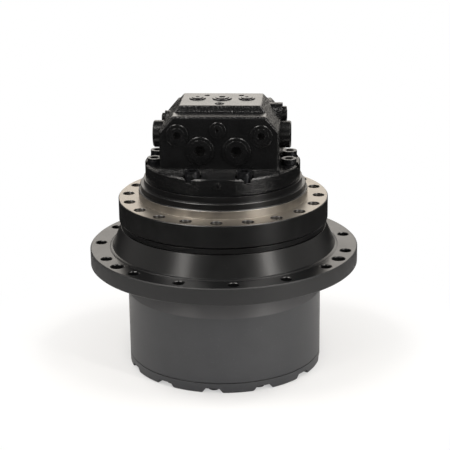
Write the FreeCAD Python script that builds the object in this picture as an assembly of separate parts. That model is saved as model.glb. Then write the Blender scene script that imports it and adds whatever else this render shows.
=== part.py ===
import FreeCAD, Part
import math
import os

# Excavator final drive: a two-stage planetary gearbox with a two-speed axial piston travel motor.
# Millimetres. +Z points up along the drive's axis, from the gear cover it stands on (z = 0) to the
# motor's valve block. The block's port face looks along -Y. Angles called "bearing" are counted
# about the axis from the port face (-Y), positive towards +X.

V = FreeCAD.Vector
os.makedirs("parts", exist_ok=True)

# ---------------------------------------------------------------- clearances
RUN_GAP = 0.35            # between pieces that turn or slide past each other
FIT = 0.05                # radial play of a turned piece in its own seat
THREAD_FIT = 0.05         # radial play drawn around a screwed shank
END_GAP = 0.5             # axial play at the ends of gears, rollers and shafts

# ---------------------------------------------------------------- gearbox shell
DRUM_R = 161.0            # ring gear and gear cover
COVER_H = 17.0            # height of the cover's rim
COVER_WALL = 13.0         # thickness of the cover's end wall
COVER_BORE_R = 112.0      # room inside the cover
COVER_SPIGOT_R = 129.5    # register of the cover inside the ring gear
COVER_SPIGOT_H = 2.5
JOINT_CHAMFER = 1.0       # edge break on both sides of the cover's joint
PAD_CHAMFER = 2.0
PLUG_CIRCLE_R = 78.0      # drain, level and filler plugs in the cover's end
PLUG_COUNT = 3
PLUG_HEAD_R = 13.0
PLUG_THREAD_R = 9.0
PLUG_HEAD_H = 4.0
PLUG_POCKET = 5.0         # depth of the pocket that keeps a plug head off the floor
PLUG_HEX = 10.0           # across flats of a plug's socket

NOTCH_COUNT = 12          # one long bolt in each notch of the cover's rim
NOTCH_START = -3.5        # bearing of the first notch, degrees
NOTCH_W = 35.0            # width of a notch at the pads
NOTCH_TOP_W = 22.0        # width at its ceiling
NOTCH_DEPTH = 8.0
NOTCH_RADIAL = 30.0
BOLT_CIRCLE_R = 141.0
BOLT_R = 6.0              # M12
BOLT_HEAD_R = 9.0
BOLT_HEAD_H = 12.0
BOLT_HEX = 10.0
BOLT_HOLE_R = 6.75
BOLT_SINK = 0.5           # how far a head stays above the pads
BOLT_GRIP = 22.0          # thread engagement in the hub

RING_LEN = 151.0          # ring gear, joint face to joint face
RING_DRUM_LEN = 111.0     # its full-diameter part
RING_NECK_R = 150.5
RING_NECK_CONE = 22.0     # height of the shoulder between drum and neck
RING_RELIEF_R = 130.5     # plain bore above the teeth
RING_FOOT = 3.0           # plain stretch below the teeth
RING_TOOTH_LEN = 106.0

# ---------------------------------------------------------------- sprocket hub
HUB_REGISTER_R = 163.0    # locates the sprocket
HUB_REGISTER_H = 6.0
SPROCKET_R = 222.0
SPROCKET_T = 28.0
SPROCKET_CHAMFER = 1.5
SPROCKET_EDGE = 17.0      # bolt circle to the rim
SPROCKET_HOLE_R = 8.75
SPROCKET_HOLE_COUNT = 15
SPROCKET_HOLE_START = -40.0   # bearing of one bolt hole, degrees
PULLER_HOLE_R = 10.5
PULLER_HOLE_COUNT = 3
HOLE_CHAMFER = 1.2
HUB_FOOT_R = 187.5        # bead at the foot of the hub's cone
HUB_FOOT_H = 2.5
HUB_CONE_R = 185.0
HUB_NOSE_R = 170.0
HUB_CONE_H = 36.0         # from the flange to the groove
HUB_GROOVE_R = 166.0
HUB_GROOVE_H = 2.0
HUB_NOSE_H = 46.0         # from the flange to the running face

# ---------------------------------------------------------------- main bearings and seal
SPINDLE_R = 100.0
BEARING_OD_R = 130.0
BEARING_W = 26.0
BEARING_MID_R = 115.0
BEARING_ANGLE = 14.0
BEARING_RIB = 8.0         # wall of the hub between the two cups
ROLLER_R = 5.5
ROLLER_LEN = 17.0
ROLLER_COUNT = 20
LOWER_BEARING_UP = 4.0    # lower cup above the hub's foot
NUT_R = 118.0
NUT_H = 12.0
NUT_SLOT = 8.0
SEAL_RECESS_R = 150.2
SEAL_RING_R = 149.2
SEAL_BORE_R = 136.0
SEAL_NECK = 5.2           # radial thickness of a seal ring's neck
SEAL_LIP = 3.2
SEAL_DEPTH = 10.0         # running face to the recess floor
SEAL_PLAY = 0.35

# ---------------------------------------------------------------- motor case
CASE_GAP = 1.5            # open gap between the hub and the case
FRAME_R = 172.5
FRAME_T = 36.5
FRAME_CHAMFER = 1.2
FRAME_PCD = 314.0
FRAME_HOLE_R = 8.75
FRAME_HOLE_COUNT = 20
FRAME_HOLE_DEPTH = 24.0
PILOT_R = 139.0
PILOT_H = 14.0
PILOT_CHAMFER = 1.5
COLLAR_R = 136.0
COLLAR_H = 9.5
CASE_TOP_R = 130.0
CASE_TOP_H = 9.5
CASE_SHOULDER_R = 112.0
CASE_SHOULDER_H = 3.0
CASE_LIP_R = 126.5
CASE_SEAL_COLLAR_R = 133.0
SPINDLE_END = 26.0        # spindle below the lower bearing's cone
CASE_FLOOR = 30.0         # cavity floor above the lower bearing's cone
SWASH_ROOM_R = 78.0
DISC_ROOM_R = 88.0
PISTON_ROOM_R = 92.0
SWASH_ROOM_H = 60.0
BRAKE_STEP_H = 30.0       # disc room below the wide piston room

# ---------------------------------------------------------------- gear train
MODULE = 3.75
PRESSURE_ANGLE = 25.0
BACKLASH = 0.2            # thinning of each flank at the pitch circle
ADDENDUM = 1.0            # in modules
DEDENDUM = 1.25
RING_TEETH = 66
SUN_1_TEETH = 12
PLANET_1_TEETH = 27
SUN_2_TEETH = 18
PLANET_2_TEETH = 24
PLANET_COUNT = 3
GEAR_1_W = 30.0
GEAR_2_W = 50.0
SUN_1_BELOW = 2.5         # sun teeth beyond the planets at each end
PIN_1_R = 17.0
PIN_1_HEAD_R = 24.0
PIN_1_HEAD_H = 3.0
PIN_2_R = 18.0
NEEDLE_R = 4.2
NEEDLE_COUNT = 10
NEEDLE_SHORT = 3.0        # needles stop this far inside a planet's ends
CARRIER_1_R = 104.0
CARRIER_1_T = 12.0
CARRIER_1_SCALLOP_R = 38.0
CARRIER_2_R = 114.0
CARRIER_2_LOW_T = 6.0
CARRIER_2_TOP_T = 20.0
CARRIER_BOLT_CIRCLE_R = 92.0
CARRIER_BOLT_SPREAD = 11.0    # degrees each side of a bridge's middle
CARRIER_BOLT_R = 6.0
CARRIER_BOLT_HEAD_R = 9.0
CARRIER_BOLT_HEAD_H = 10.0
CARRIER_BOLT_GRIP = 20.0
SUN_2_BORE_R = 17.0
THRUST_BOSS_R = 34.0
THRUST_BOSS_H = 3.0
THRUST_PLATE_R = 30.0
THRUST_PLATE_T = 3.5
THRUST_RECESS = 1.0

# ---------------------------------------------------------------- motor shaft and pump parts
SUN_SHAFT_R = 13.0
COUPLING_R = 22.0
COUPLING_LEN = 34.0
COUPLING_BORE_R = 13.0
CASE_TAIL_BORE_R = 26.0
SEAL_SEAT_R = 30.0
SHAFT_SEAL_H = 10.0
SEAL_JOURNAL_R = 17.0
FRONT_SEAT_R = 19.0
SHAFT_BEARING_R = 38.0
SHAFT_BEARING_W = 20.0
SHAFT_SPLINE_R = 20.0
REAR_SEAT_R = 16.0
REAR_BEARING_R = 32.0
REAR_BEARING_W = 18.0
SHAFT_ROLLER_COUNT = 12
SHAFT_ROLLER_SHARE = 0.17 # roller radius as a share of the room between the seats
SWASH_ANGLE = 15.0
SWASH_TRAVEL = 6.0        # degrees between full and half displacement
SWASH_R = 68.0
SWASH_T = 14.0
SWASH_BORE_R = 30.0
SWASH_FACE_UP = 26.0      # slipper face above the cavity floor, on the axis
SWASH_FLOOR_GAP = 0.6
CRADLE_R = 41.0           # runners under the swash plate, about its tilt axis
CRADLE_X = 40.0           # inner face of a runner
CRADLE_W = 20.0
CRADLE_WALL = 6.0
CRADLE_H = 14.0           # saddles above the cavity floor
PISTON_COUNT = 9
PISTON_CIRCLE_R = 42.0
PISTON_R = 9.0
PISTON_LEN = 50.0         # ball centre to crown
PISTON_NECK_R = 3.8
PISTON_SKIRT = 9.0        # ball centre to the start of the full diameter
PISTON_BALL_R = 6.0
SLIPPER_R = 11.0
SLIPPER_T = 4.0
SLIPPER_NECK_R = 7.8
SLIPPER_BALL_UP = 9.0     # ball centre above the slipper face
RETAINER_R = 59.0
RETAINER_T = 3.6
GUIDE_R = 25.0
BLOCK_R = 58.0
BLOCK_LIFT = 5.0          # block above the highest ball centre
BLOCK_SPLINE_R = 61.0
BLOCK_SPLINE_COUNT = 12
BLOCK_SPLINE_W = 8.0
VALVE_PLATE_T = 6.0
VALVE_PLATE_R = 57.0
VALVE_PLATE_BORE_R = 24.0
KIDNEY_W = 10.0
KIDNEY_R = 42.0

# ---------------------------------------------------------------- parking brake and speed control
FRICTION_COUNT = 3
FRICTION_T = 3.0
STEEL_T = 2.5
DISC_GAP = 0.35
FRICTION_R = 82.0
STEEL_BORE_R = 64.0
STEEL_EAR_W = 14.0
STEEL_EAR = 4.0
STEEL_EAR_COUNT = 6
BRAKE_PISTON_BORE_R = 65.0
BRAKE_PISTON_H = 20.0
BRAKE_TRAVEL = 1.5
BRAKE_STEP_PLAY = 3.0
SPRING_T = 2.0
SPRING_BORE_R = 70.0
SPRING_COUNT = 4
SPEED_PISTON_R = 7.0
SPEED_PISTON_Y = -56.0
SPEED_PISTON_LEN = 16.0
SPEED_PISTON_DOME_R = 24.0

# ---------------------------------------------------------------- valve block
FLANGE_R = 127.0
FLANGE_T = 27.0
FLANGE_FLAT_Y = 124.0     # front chord of the round flange
FLANGE_ROUND = 2.5
BLOCK_BOLT_CIRCLE_R = 112.0
BLOCK_BOLT_BEARINGS = (21.5, 77.0, 103.0, 158.5)
BLOCK_BOLT_R = 8.0        # M16
BLOCK_BOLT_HEAD_R = 12.0
BLOCK_BOLT_HEAD_H = 16.0
BLOCK_BOLT_HEX = 14.0
BLOCK_BOLT_POCKET_R = 15.5
BLOCK_BOLT_POCKET = 7.0
BLOCK_BOLT_GRIP = 26.0
HOUSING_W = 190.0         # across the sides
HOUSING_FRONT_Y = -80.0
HOUSING_BACK_Y = 78.0
HOUSING_SIDE_H = 65.0     # flange to the start of the side chamfers
HOUSING_SHOULDER = 30.0   # width of each side chamfer
HOUSING_H = 100.0         # flange to the top face
LEDGE_DROP = 10.0         # front ledge below the top face
LEDGE_BACK_Y = -50.0
LEDGE_SLOPE = 4.0
BACK_LEDGE_Y = 50.0
BACK_LEDGE_DROP = 14.0
HOUSING_ROUND = 4.0
FOOT_FLARE = 3.0
FOOT_H = 6.0

SPOOL_Y = -2.0
SPOOL_UP = 43.0           # spool axis above the flange
SPOOL_R = 14.0
SPOOL_END_ROOM = 20.0     # each end of the spool to the side of the block
SPOOL_PLAY = 0.06
SPOOL_TRAVEL = 8.0
SPOOL_LAND_COUNT = 5
SPOOL_GROOVE_R = 9.0
CAP_R = 22.0
CAP_OUT = 17.0
CAP_THREAD_R = 18.0
CAP_THREAD_LEN = 12.0
CAP_BORE_R = 12.5
CAP_WALL = 6.0
CAP_HEX = 14.0
SPRING_WIRE = 2.4
SPRING_TURNS = 4


# ================================================================ small helpers
def cyl(radius, low, high, x=0.0, y=0.0):
    """Upright cylinder between two heights."""
    return Part.makeCylinder(radius, high - low, V(x, y, low))


def tube(outer, inner, low, high, x=0.0, y=0.0):
    """Upright ring between two heights."""
    return cyl(outer, low, high, x, y).cut(cyl(inner, low - 1, high + 1, x, y))


def rod(radius, start, direction, length):
    """Cylinder from a point along a direction."""
    return Part.makeCylinder(radius, length, V(*start), V(*direction))


def turned(points):
    """Solid of revolution about the Z axis from (radius, height) points."""
    corners = [V(radius, 0, height) for radius, height in points]
    corners.append(corners[0])
    return Part.Face(Part.makePolygon(corners)).revolve(V(0, 0, 0), V(0, 0, 1), 360)


def prism(points, low, high):
    """Extrusion of an (x, y) outline between two heights."""
    corners = [V(x, y, low) for x, y in points]
    corners.append(corners[0])
    return Part.Face(Part.makePolygon(corners)).extrude(V(0, 0, high - low))


def hexagon(across, low, high, x=0.0, y=0.0):
    """Upright hexagonal prism, given across flats."""
    radius = across / math.sqrt(3)
    points = []
    for k in range(6):
        angle = math.radians(60 * k)
        points.append((x + radius * math.cos(angle), y + radius * math.sin(angle)))
    return prism(points, low, high)


def polar(radius, bearing):
    """Plan position at a bearing from the port face, positive towards +X."""
    angle = math.radians(bearing)
    return radius * math.sin(angle), -radius * math.cos(angle)


def around(shape, count, start=0.0):
    """Copies of a shape spaced evenly about the Z axis."""
    copies = []
    for k in range(count):
        copy = shape.copy()
        copy.rotate(V(0, 0, 0), V(0, 0, 1), start + 360.0 * k / count)
        copies.append(copy)
    return copies


def cut_all(shape, tools):
    """Cut a list of tools out of a shape."""
    return shape.cut(Part.makeCompound(tools)) if tools else shape


def save(name, solids):
    """Write one node, a single solid or a list of separate ones."""
    shape = Part.makeCompound(solids) if isinstance(solids, list) else solids
    shape.exportStep("parts/" + name + ".step")


# ================================================================ levels along the axis
sprocket_circle_r = SPROCKET_R - SPROCKET_EDGE
cover_top = COVER_H
hub_foot = cover_top + RING_LEN
flange_low = hub_foot + HUB_REGISTER_H
flange_top = flange_low + SPROCKET_T
hub_top = flange_top + HUB_NOSE_H
case_low = hub_top + CASE_GAP
frame_face = case_low + FRAME_T
pilot_top = frame_face + PILOT_H
collar_top = pilot_top + COLLAR_H
case_top = collar_top + CASE_TOP_H
block_flange_top = case_top + FLANGE_T
block_top = block_flange_top + HOUSING_H

lower_bearing = hub_foot + LOWER_BEARING_UP
rib_low = lower_bearing + BEARING_W
upper_bearing = rib_low + BEARING_RIB
upper_bearing_top = upper_bearing + BEARING_W
seal_plane = hub_top + CASE_GAP / 2
hub_seal_floor = seal_plane - SEAL_PLAY / 2 - SEAL_DEPTH
case_seal_floor = seal_plane + SEAL_PLAY / 2 + SEAL_DEPTH
spindle_end = lower_bearing - SPINDLE_END
cavity_floor = lower_bearing + CASE_FLOOR
disc_floor = cavity_floor + SWASH_ROOM_H
brake_step = disc_floor + BRAKE_STEP_H

thrust_face = COVER_WALL + THRUST_BOSS_H - THRUST_RECESS + THRUST_PLATE_T
sun_1_low = thrust_face + END_GAP
gear_1_low = sun_1_low + SUN_1_BELOW
gear_1_top = gear_1_low + GEAR_1_W
carrier_1_low = gear_1_top + END_GAP
carrier_1_top = carrier_1_low + CARRIER_1_T
carrier_2_top = spindle_end
pocket_top = carrier_2_top - CARRIER_2_TOP_T
gear_2_top = pocket_top - END_GAP
gear_2_low = gear_2_top - GEAR_2_W
pocket_low = gear_2_low - END_GAP
carrier_2_low = pocket_low - CARRIER_2_LOW_T

ring_pitch_r = MODULE * RING_TEETH / 2
planet_1_pitch_r = MODULE * PLANET_1_TEETH / 2
planet_2_pitch_r = MODULE * PLANET_2_TEETH / 2
orbit_1 = ring_pitch_r - planet_1_pitch_r
orbit_2 = ring_pitch_r - planet_2_pitch_r


# ================================================================ gear teeth
def involute(angle):
    return math.tan(angle) - angle


def half_tooth(teeth, radius, thinning):
    """Half of a tooth's angle at a radius; the flank is radial below the base circle."""
    pressure = math.radians(PRESSURE_ANGLE)
    pitch_r = MODULE * teeth / 2
    base_r = pitch_r * math.cos(pressure)
    local = math.acos(min(1.0, base_r / radius))
    return math.pi / (2 * teeth) + involute(pressure) - involute(local) - thinning / pitch_r


def gear_outline(teeth, phase, tip_r, root_r, thinning, steps):
    """Closed outline of an external gear with a tooth centred on the phase angle."""
    pitch_r = MODULE * teeth / 2
    base_r = pitch_r * math.cos(math.radians(PRESSURE_ANGLE))
    start_r = max(base_r, root_r)
    radii = [start_r + (tip_r - start_r) * k / steps for k in range(steps + 1)]
    if root_r < start_r:
        radii.insert(0, root_r)
    flank = [(radius, half_tooth(teeth, radius, thinning)) for radius in radii]
    points = []
    for k in range(teeth):
        middle = math.radians(phase) + 2 * math.pi * k / teeth
        for radius, half in flank:
            points.append((radius * math.cos(middle - half), radius * math.sin(middle - half)))
        for radius, half in reversed(flank):
            points.append((radius * math.cos(middle + half), radius * math.sin(middle + half)))
    return points


def external_gear(teeth, phase, low, high, steps, thinning=BACKLASH):
    tip_r = MODULE * (teeth / 2 + ADDENDUM)
    root_r = MODULE * (teeth / 2 - DEDENDUM)
    return prism(gear_outline(teeth, phase, tip_r, root_r, thinning, steps), low, high)


def planet_phase(teeth, place):
    """Phase that meshes a planet at angle `place` with a ring gear that has a space at angle 0."""
    return place * (1 - RING_TEETH / teeth)


def sun_phase(sun_teeth, planet_teeth, place):
    """Phase that meshes a sun with the planet at angle `place`."""
    return ((sun_teeth + RING_TEETH) * place + 180 * planet_teeth - 180) / sun_teeth


def planet_places(first):
    return [first + 360.0 * k / PLANET_COUNT for k in range(PLANET_COUNT)]


STAGE_1_PLACES = planet_places(90.0)
STAGE_2_PLACES = planet_places(30.0)


def needle_ring(pin_r, low, high, x, y):
    """Loose needle rollers around a planet pin."""
    circle_r = pin_r + FIT + NEEDLE_R
    needles = []
    for k in range(NEEDLE_COUNT):
        angle = 2 * math.pi * k / NEEDLE_COUNT
        needles.append(cyl(NEEDLE_R, low, high, x + circle_r * math.cos(angle), y + circle_r * math.sin(angle)))
    return needles


def planet_bore(pin_r):
    return pin_r + FIT + 2 * NEEDLE_R + RUN_GAP


# ================================================================ gear cover
def notch(radius, width, top_width, depth):
    """Trapezoid notch across the cover's rim at the front, cut upwards from the pads."""
    outline = [V(-width / 2, 0, -1), V(width / 2, 0, -1), V(width / 2, 0, 0)]
    outline += [V(top_width / 2, 0, depth), V(-top_width / 2, 0, depth), V(-width / 2, 0, 0)]
    outline.append(outline[0])
    tool = Part.Face(Part.makePolygon(outline)).extrude(V(0, -NOTCH_RADIAL, 0))
    tool.translate(V(0, -radius + NOTCH_RADIAL - 10, 0))
    return tool


def bolt_places():
    return [polar(BOLT_CIRCLE_R, NOTCH_START + 360.0 * k / NOTCH_COUNT) for k in range(NOTCH_COUNT)]


bolt_seat = BOLT_SINK + BOLT_HEAD_H


def make_gear_cover():
    edge = DRUM_R - JOINT_CHAMFER
    cover = turned([
        (0, PAD_CHAMFER), (COVER_BORE_R - 20, PAD_CHAMFER), (COVER_BORE_R - 20 + PAD_CHAMFER, 0),
        (DRUM_R - PAD_CHAMFER, 0), (DRUM_R, PAD_CHAMFER), (DRUM_R, cover_top - JOINT_CHAMFER),
        (edge, cover_top), (COVER_SPIGOT_R, cover_top), (COVER_SPIGOT_R, cover_top + COVER_SPIGOT_H),
        (COVER_BORE_R, cover_top + COVER_SPIGOT_H), (COVER_BORE_R, COVER_WALL),
        (THRUST_BOSS_R, COVER_WALL), (THRUST_BOSS_R, COVER_WALL + THRUST_BOSS_H),
        (THRUST_PLATE_R + FIT, COVER_WALL + THRUST_BOSS_H),
        (THRUST_PLATE_R + FIT, COVER_WALL + THRUST_BOSS_H - THRUST_RECESS),
        (0, COVER_WALL + THRUST_BOSS_H - THRUST_RECESS)])
    cutter = notch(DRUM_R, NOTCH_W, NOTCH_TOP_W, NOTCH_DEPTH)
    tools = around(cutter, NOTCH_COUNT, NOTCH_START)
    for x, y in bolt_places():
        tools.append(cyl(BOLT_HEAD_R + 0.8, -1, bolt_seat, x, y))
        tools.append(cyl(BOLT_HOLE_R, -1, cover_top + 1, x, y))
    for k in range(PLUG_COUNT):
        x, y = polar(PLUG_CIRCLE_R, 60 + 360.0 * k / PLUG_COUNT)
        tools.append(cyl(PLUG_HEAD_R + 1.5, -1, PLUG_POCKET + PAD_CHAMFER, x, y))
        tools.append(cyl(PLUG_THREAD_R + THREAD_FIT, -1, COVER_WALL + 1, x, y))
    return cut_all(cover, tools)


def make_cover_bolts():
    bolts = []
    for x, y in bolt_places():
        bolt = cyl(BOLT_HEAD_R, BOLT_SINK, bolt_seat, x, y).fuse(cyl(BOLT_R, bolt_seat, hub_foot + BOLT_GRIP, x, y))
        bolts.append(bolt.cut(hexagon(BOLT_HEX, BOLT_SINK - 1, BOLT_SINK + BOLT_HEX / 2, x, y)))
    return bolts


def make_cover_plugs():
    plugs = []
    seat = PLUG_POCKET + PAD_CHAMFER
    for k in range(PLUG_COUNT):
        x, y = polar(PLUG_CIRCLE_R, 60 + 360.0 * k / PLUG_COUNT)
        plug = cyl(PLUG_HEAD_R, seat - PLUG_HEAD_H, seat, x, y).fuse(cyl(PLUG_THREAD_R, seat, COVER_WALL, x, y))
        plugs.append(plug.cut(hexagon(PLUG_HEX, seat - PLUG_HEAD_H - 1, COVER_WALL - 2, x, y)))
    return plugs


save("gear_cover", make_gear_cover())
save("cover_bolts", make_cover_bolts())
save("cover_plugs", make_cover_plugs())
save("thrust_plate", cyl(THRUST_PLATE_R, thrust_face - THRUST_PLATE_T, thrust_face))


# ================================================================ ring gear
def make_ring_gear():
    tip_r = MODULE * (RING_TEETH / 2 - ADDENDUM)
    root_r = MODULE * (RING_TEETH / 2 + DEDENDUM)
    teeth_low = cover_top + RING_FOOT
    teeth_top = teeth_low + RING_TOOTH_LEN
    drum_top = cover_top + RING_DRUM_LEN
    blank = turned([
        (COVER_SPIGOT_R + FIT, cover_top), (DRUM_R - JOINT_CHAMFER, cover_top),
        (DRUM_R, cover_top + JOINT_CHAMFER), (DRUM_R, drum_top),
        (RING_NECK_R, drum_top + RING_NECK_CONE), (RING_NECK_R, hub_foot), (RING_RELIEF_R, hub_foot),
        (RING_RELIEF_R, teeth_top), (tip_r, teeth_top), (tip_r, teeth_low),
        (COVER_SPIGOT_R + FIT, teeth_low)])
    spaces = gear_outline(RING_TEETH, 0, root_r, tip_r - 1, -BACKLASH, 2)
    tools = [prism(spaces, teeth_low - 1, teeth_top + 1)]
    ring = blank.cut(tools[0])
    return cut_all(ring, [cyl(BOLT_HOLE_R, cover_top - 1, hub_foot + 1, x, y) for x, y in bolt_places()])


save("ring_gear", make_ring_gear())


# ================================================================ sprocket hub
def drilled(radius, low, high, x, y):
    """Through-hole tool with a small countersink at both ends."""
    tool = cyl(radius, low - 1, high + 1, x, y)
    cone = Part.makeCone(radius + HOLE_CHAMFER, radius, HOLE_CHAMFER, V(x, y, low))
    top = Part.makeCone(radius, radius + HOLE_CHAMFER, HOLE_CHAMFER, V(x, y, high - HOLE_CHAMFER))
    return tool.fuse([cone, top])


def make_sprocket_hub():
    groove_low = flange_top + HUB_CONE_H
    groove_top = groove_low + HUB_GROOVE_H
    c = SPROCKET_CHAMFER
    hub = turned([
        (BEARING_OD_R + FIT, hub_foot), (HUB_REGISTER_R, hub_foot), (HUB_REGISTER_R, flange_low),
        (SPROCKET_R - c, flange_low), (SPROCKET_R, flange_low + c), (SPROCKET_R, flange_top - c),
        (SPROCKET_R - c, flange_top), (HUB_FOOT_R + HUB_FOOT_H, flange_top),
        (HUB_FOOT_R, flange_top + HUB_FOOT_H * 0.6), (HUB_CONE_R, flange_top + HUB_FOOT_H),
        (HUB_NOSE_R, groove_low), (HUB_GROOVE_R, groove_low), (HUB_GROOVE_R, groove_top),
        (HUB_NOSE_R, groove_top), (HUB_NOSE_R, hub_top - 1), (HUB_NOSE_R - 1, hub_top),
        (SEAL_RECESS_R, hub_top), (SEAL_RECESS_R, hub_seal_floor), (BEARING_OD_R + FIT, hub_seal_floor),
        (BEARING_OD_R + FIT, upper_bearing), (BEARING_OD_R - 8, upper_bearing),
        (BEARING_OD_R - 8, rib_low), (BEARING_OD_R + FIT, rib_low)])
    tools = []
    for k in range(SPROCKET_HOLE_COUNT):
        x, y = polar(sprocket_circle_r, SPROCKET_HOLE_START + 360.0 * k / SPROCKET_HOLE_COUNT)
        tools.append(drilled(SPROCKET_HOLE_R, flange_low, flange_top, x, y))
    half_pitch = 180.0 / SPROCKET_HOLE_COUNT
    for k in range(PULLER_HOLE_COUNT):
        bearing = SPROCKET_HOLE_START - half_pitch + 360.0 * k / PULLER_HOLE_COUNT
        x, y = polar(sprocket_circle_r, bearing)
        tools.append(drilled(PULLER_HOLE_R, flange_low, flange_top, x, y))
    for x, y in bolt_places():
        tools.append(cyl(BOLT_R + THREAD_FIT, hub_foot - 1, hub_foot + BOLT_GRIP + 4, x, y))
    return cut_all(hub, tools)


save("sprocket_hub", make_sprocket_hub())


# ================================================================ main bearings
def bearing_line(mid_r, roller_r, half_len, angle, side, gap):
    """Two (radius, height) points of a raceway, heights from the bearing's middle, large end up."""
    tilt = math.radians(angle)
    taper = math.atan(roller_r * math.sin(tilt) / mid_r)
    points = []
    for s in (-half_len, half_len):
        reach = side * (roller_r + s * math.tan(taper) + gap)
        points.append((mid_r + s * math.sin(tilt) + reach * math.cos(tilt),
                       s * math.cos(tilt) - reach * math.sin(tilt)))
    return points


def at_height(line, height):
    """Radius of a raceway line at a height."""
    (r0, h0), (r1, h1) = line
    return r0 + (r1 - r0) * (height - h0) / (h1 - h0)


def bearing_cup(outer, width, middle, up, mid_r, roller_r, roller_len, angle):
    line = bearing_line(mid_r, roller_r, roller_len / 2, angle, 1, RUN_GAP)
    half = width / 2
    corners = [(outer, -half), (outer, half), (at_height(line, half), half), (at_height(line, -half), -half)]
    return turned([(radius, middle + up * height) for radius, height in corners])


def bearing_cone(inner, width, middle, up, mid_r, roller_r, roller_len, angle):
    line = bearing_line(mid_r, roller_r, roller_len / 2, angle, -1, RUN_GAP)
    half = width / 2
    rib = roller_len / 2 * math.cos(math.radians(angle)) + roller_r * math.sin(math.radians(angle)) + RUN_GAP
    rib_r = at_height(line, rib) + roller_r * 0.7
    corners = [(inner, -half), (at_height(line, -half), -half), (at_height(line, rib), rib),
               (rib_r, rib), (rib_r, half), (inner, half)]
    return turned([(radius, middle + up * height) for radius, height in corners])


def bearing_rollers(count, middle, up, mid_r, roller_r, roller_len, angle):
    tilt = math.radians(angle)
    swell = roller_len / 2 * roller_r * math.sin(tilt) / mid_r
    direction = V(math.sin(tilt), 0, up * math.cos(tilt))
    start = V(mid_r, 0, middle) - direction * (roller_len / 2)
    roller = Part.makeCone(roller_r - swell, roller_r + swell, roller_len, start, direction)
    return around(roller, count)


MAIN_BEARINGS = (("lower", lower_bearing, -1), ("upper", upper_bearing, 1))
main_roller = (BEARING_MID_R, ROLLER_R, ROLLER_LEN, BEARING_ANGLE)
for where, low, up in MAIN_BEARINGS:
    middle = low + BEARING_W / 2
    save(where + "_bearing_cup", bearing_cup(BEARING_OD_R, BEARING_W, middle, up, *main_roller))
    save(where + "_bearing_cone", bearing_cone(SPINDLE_R + FIT, BEARING_W, middle, up, *main_roller))
    save(where + "_bearing_rollers", bearing_rollers(ROLLER_COUNT, middle, up, *main_roller))


def make_lock_nut():
    low = lower_bearing - NUT_H
    nut = tube(NUT_R, SPINDLE_R + THREAD_FIT, low, lower_bearing)
    slot = Part.makeBox(NUT_SLOT, 12, 5, V(-NUT_SLOT / 2, NUT_R - 6, low - 1))
    return cut_all(nut, around(slot, 8))


save("bearing_lock_nut", make_lock_nut())


# ================================================================ floating face seal
def seal_ring(floor, up):
    """One of the two lapped rings; heights run from its recess floor towards the running face."""
    neck_r = SEAL_BORE_R + SEAL_NECK
    corners = [(SEAL_BORE_R, 1), (neck_r, 1), (neck_r, SEAL_DEPTH - SEAL_LIP),
               (SEAL_RING_R, SEAL_DEPTH - SEAL_LIP), (SEAL_RING_R, SEAL_DEPTH), (SEAL_BORE_R, SEAL_DEPTH)]
    return turned([(radius, floor + up * height) for radius, height in corners])


def seal_o_ring(floor, up):
    """Rubber ring squeezed between the seal ring's neck and the recess."""
    inner = SEAL_BORE_R + SEAL_NECK
    outer = SEAL_RECESS_R
    high = SEAL_DEPTH - SEAL_LIP
    cut = (outer - inner) * 0.28
    rise = high * 0.28
    corners = [(inner, rise), (inner + cut, 0), (outer - cut, 0), (outer, rise),
               (outer, high - rise), (outer - cut, high), (inner + cut, high), (inner, high - rise)]
    return turned([(radius, floor + up * height) for radius, height in corners])


save("hub_seal_ring", seal_ring(hub_seal_floor, 1))
save("hub_seal_o_ring", seal_o_ring(hub_seal_floor, 1))
save("case_seal_ring", seal_ring(case_seal_floor, -1))
save("case_seal_o_ring", seal_o_ring(case_seal_floor, -1))


# ================================================================ stage gears and carriers
def plan(radius, angle):
    """Plan position at an angle from +X."""
    return radius * math.cos(math.radians(angle)), radius * math.sin(math.radians(angle))


def save_planets(stage, teeth, places, orbit, pin_r, low, high):
    for k, place in enumerate(places, 1):
        x, y = plan(orbit, place)
        gear = external_gear(teeth, planet_phase(teeth, place), low, high, 2)
        gear = gear.cut(cyl(planet_bore(pin_r), low - 1, high + 1))
        gear.translate(V(x, y, 0))
        save("%s_planet_gear_%d" % (stage, k), gear)


def needles_for(places, orbit, pin_r, low, high):
    needles = []
    for place in places:
        x, y = plan(orbit, place)
        needles += needle_ring(pin_r, low + NEEDLE_SHORT, high - NEEDLE_SHORT, x, y)
    return needles


save_planets("first", PLANET_1_TEETH, STAGE_1_PLACES, orbit_1, PIN_1_R, gear_1_low, gear_1_top)
save_planets("second", PLANET_2_TEETH, STAGE_2_PLACES, orbit_2, PIN_2_R, gear_2_low, gear_2_top)
save("first_stage_needles", needles_for(STAGE_1_PLACES, orbit_1, PIN_1_R, gear_1_low, gear_1_top))
save("second_stage_needles", needles_for(STAGE_2_PLACES, orbit_2, PIN_2_R, gear_2_low, gear_2_top))

sun_1_top = gear_1_top + SUN_1_BELOW
sun_2_low = sun_1_top + END_GAP
sun_2_phase = sun_phase(SUN_2_TEETH, PLANET_2_TEETH, STAGE_2_PLACES[0])
coupling_low = pocket_top + 2 * END_GAP
coupling_mid = coupling_low + COUPLING_LEN / 2
coupling_top = coupling_low + COUPLING_LEN


def splined(count, tip_r, root_r, low, high):
    """Straight-sided splined shaft, or the tool for its bore."""
    step = 2 * math.pi / count
    points = []
    for k in range(count):
        for radius, share in ((root_r, -0.30), (tip_r, -0.18), (tip_r, 0.18), (root_r, 0.30)):
            angle = step * (k + share)
            points.append((radius * math.cos(angle), radius * math.sin(angle)))
    return prism(points, low, high)


SHAFT_SPLINES = 14


def shaft_spline(radius, low, high, play=0.0):
    return splined(SHAFT_SPLINES, radius + play, radius * 0.9 + play, low, high)


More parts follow.
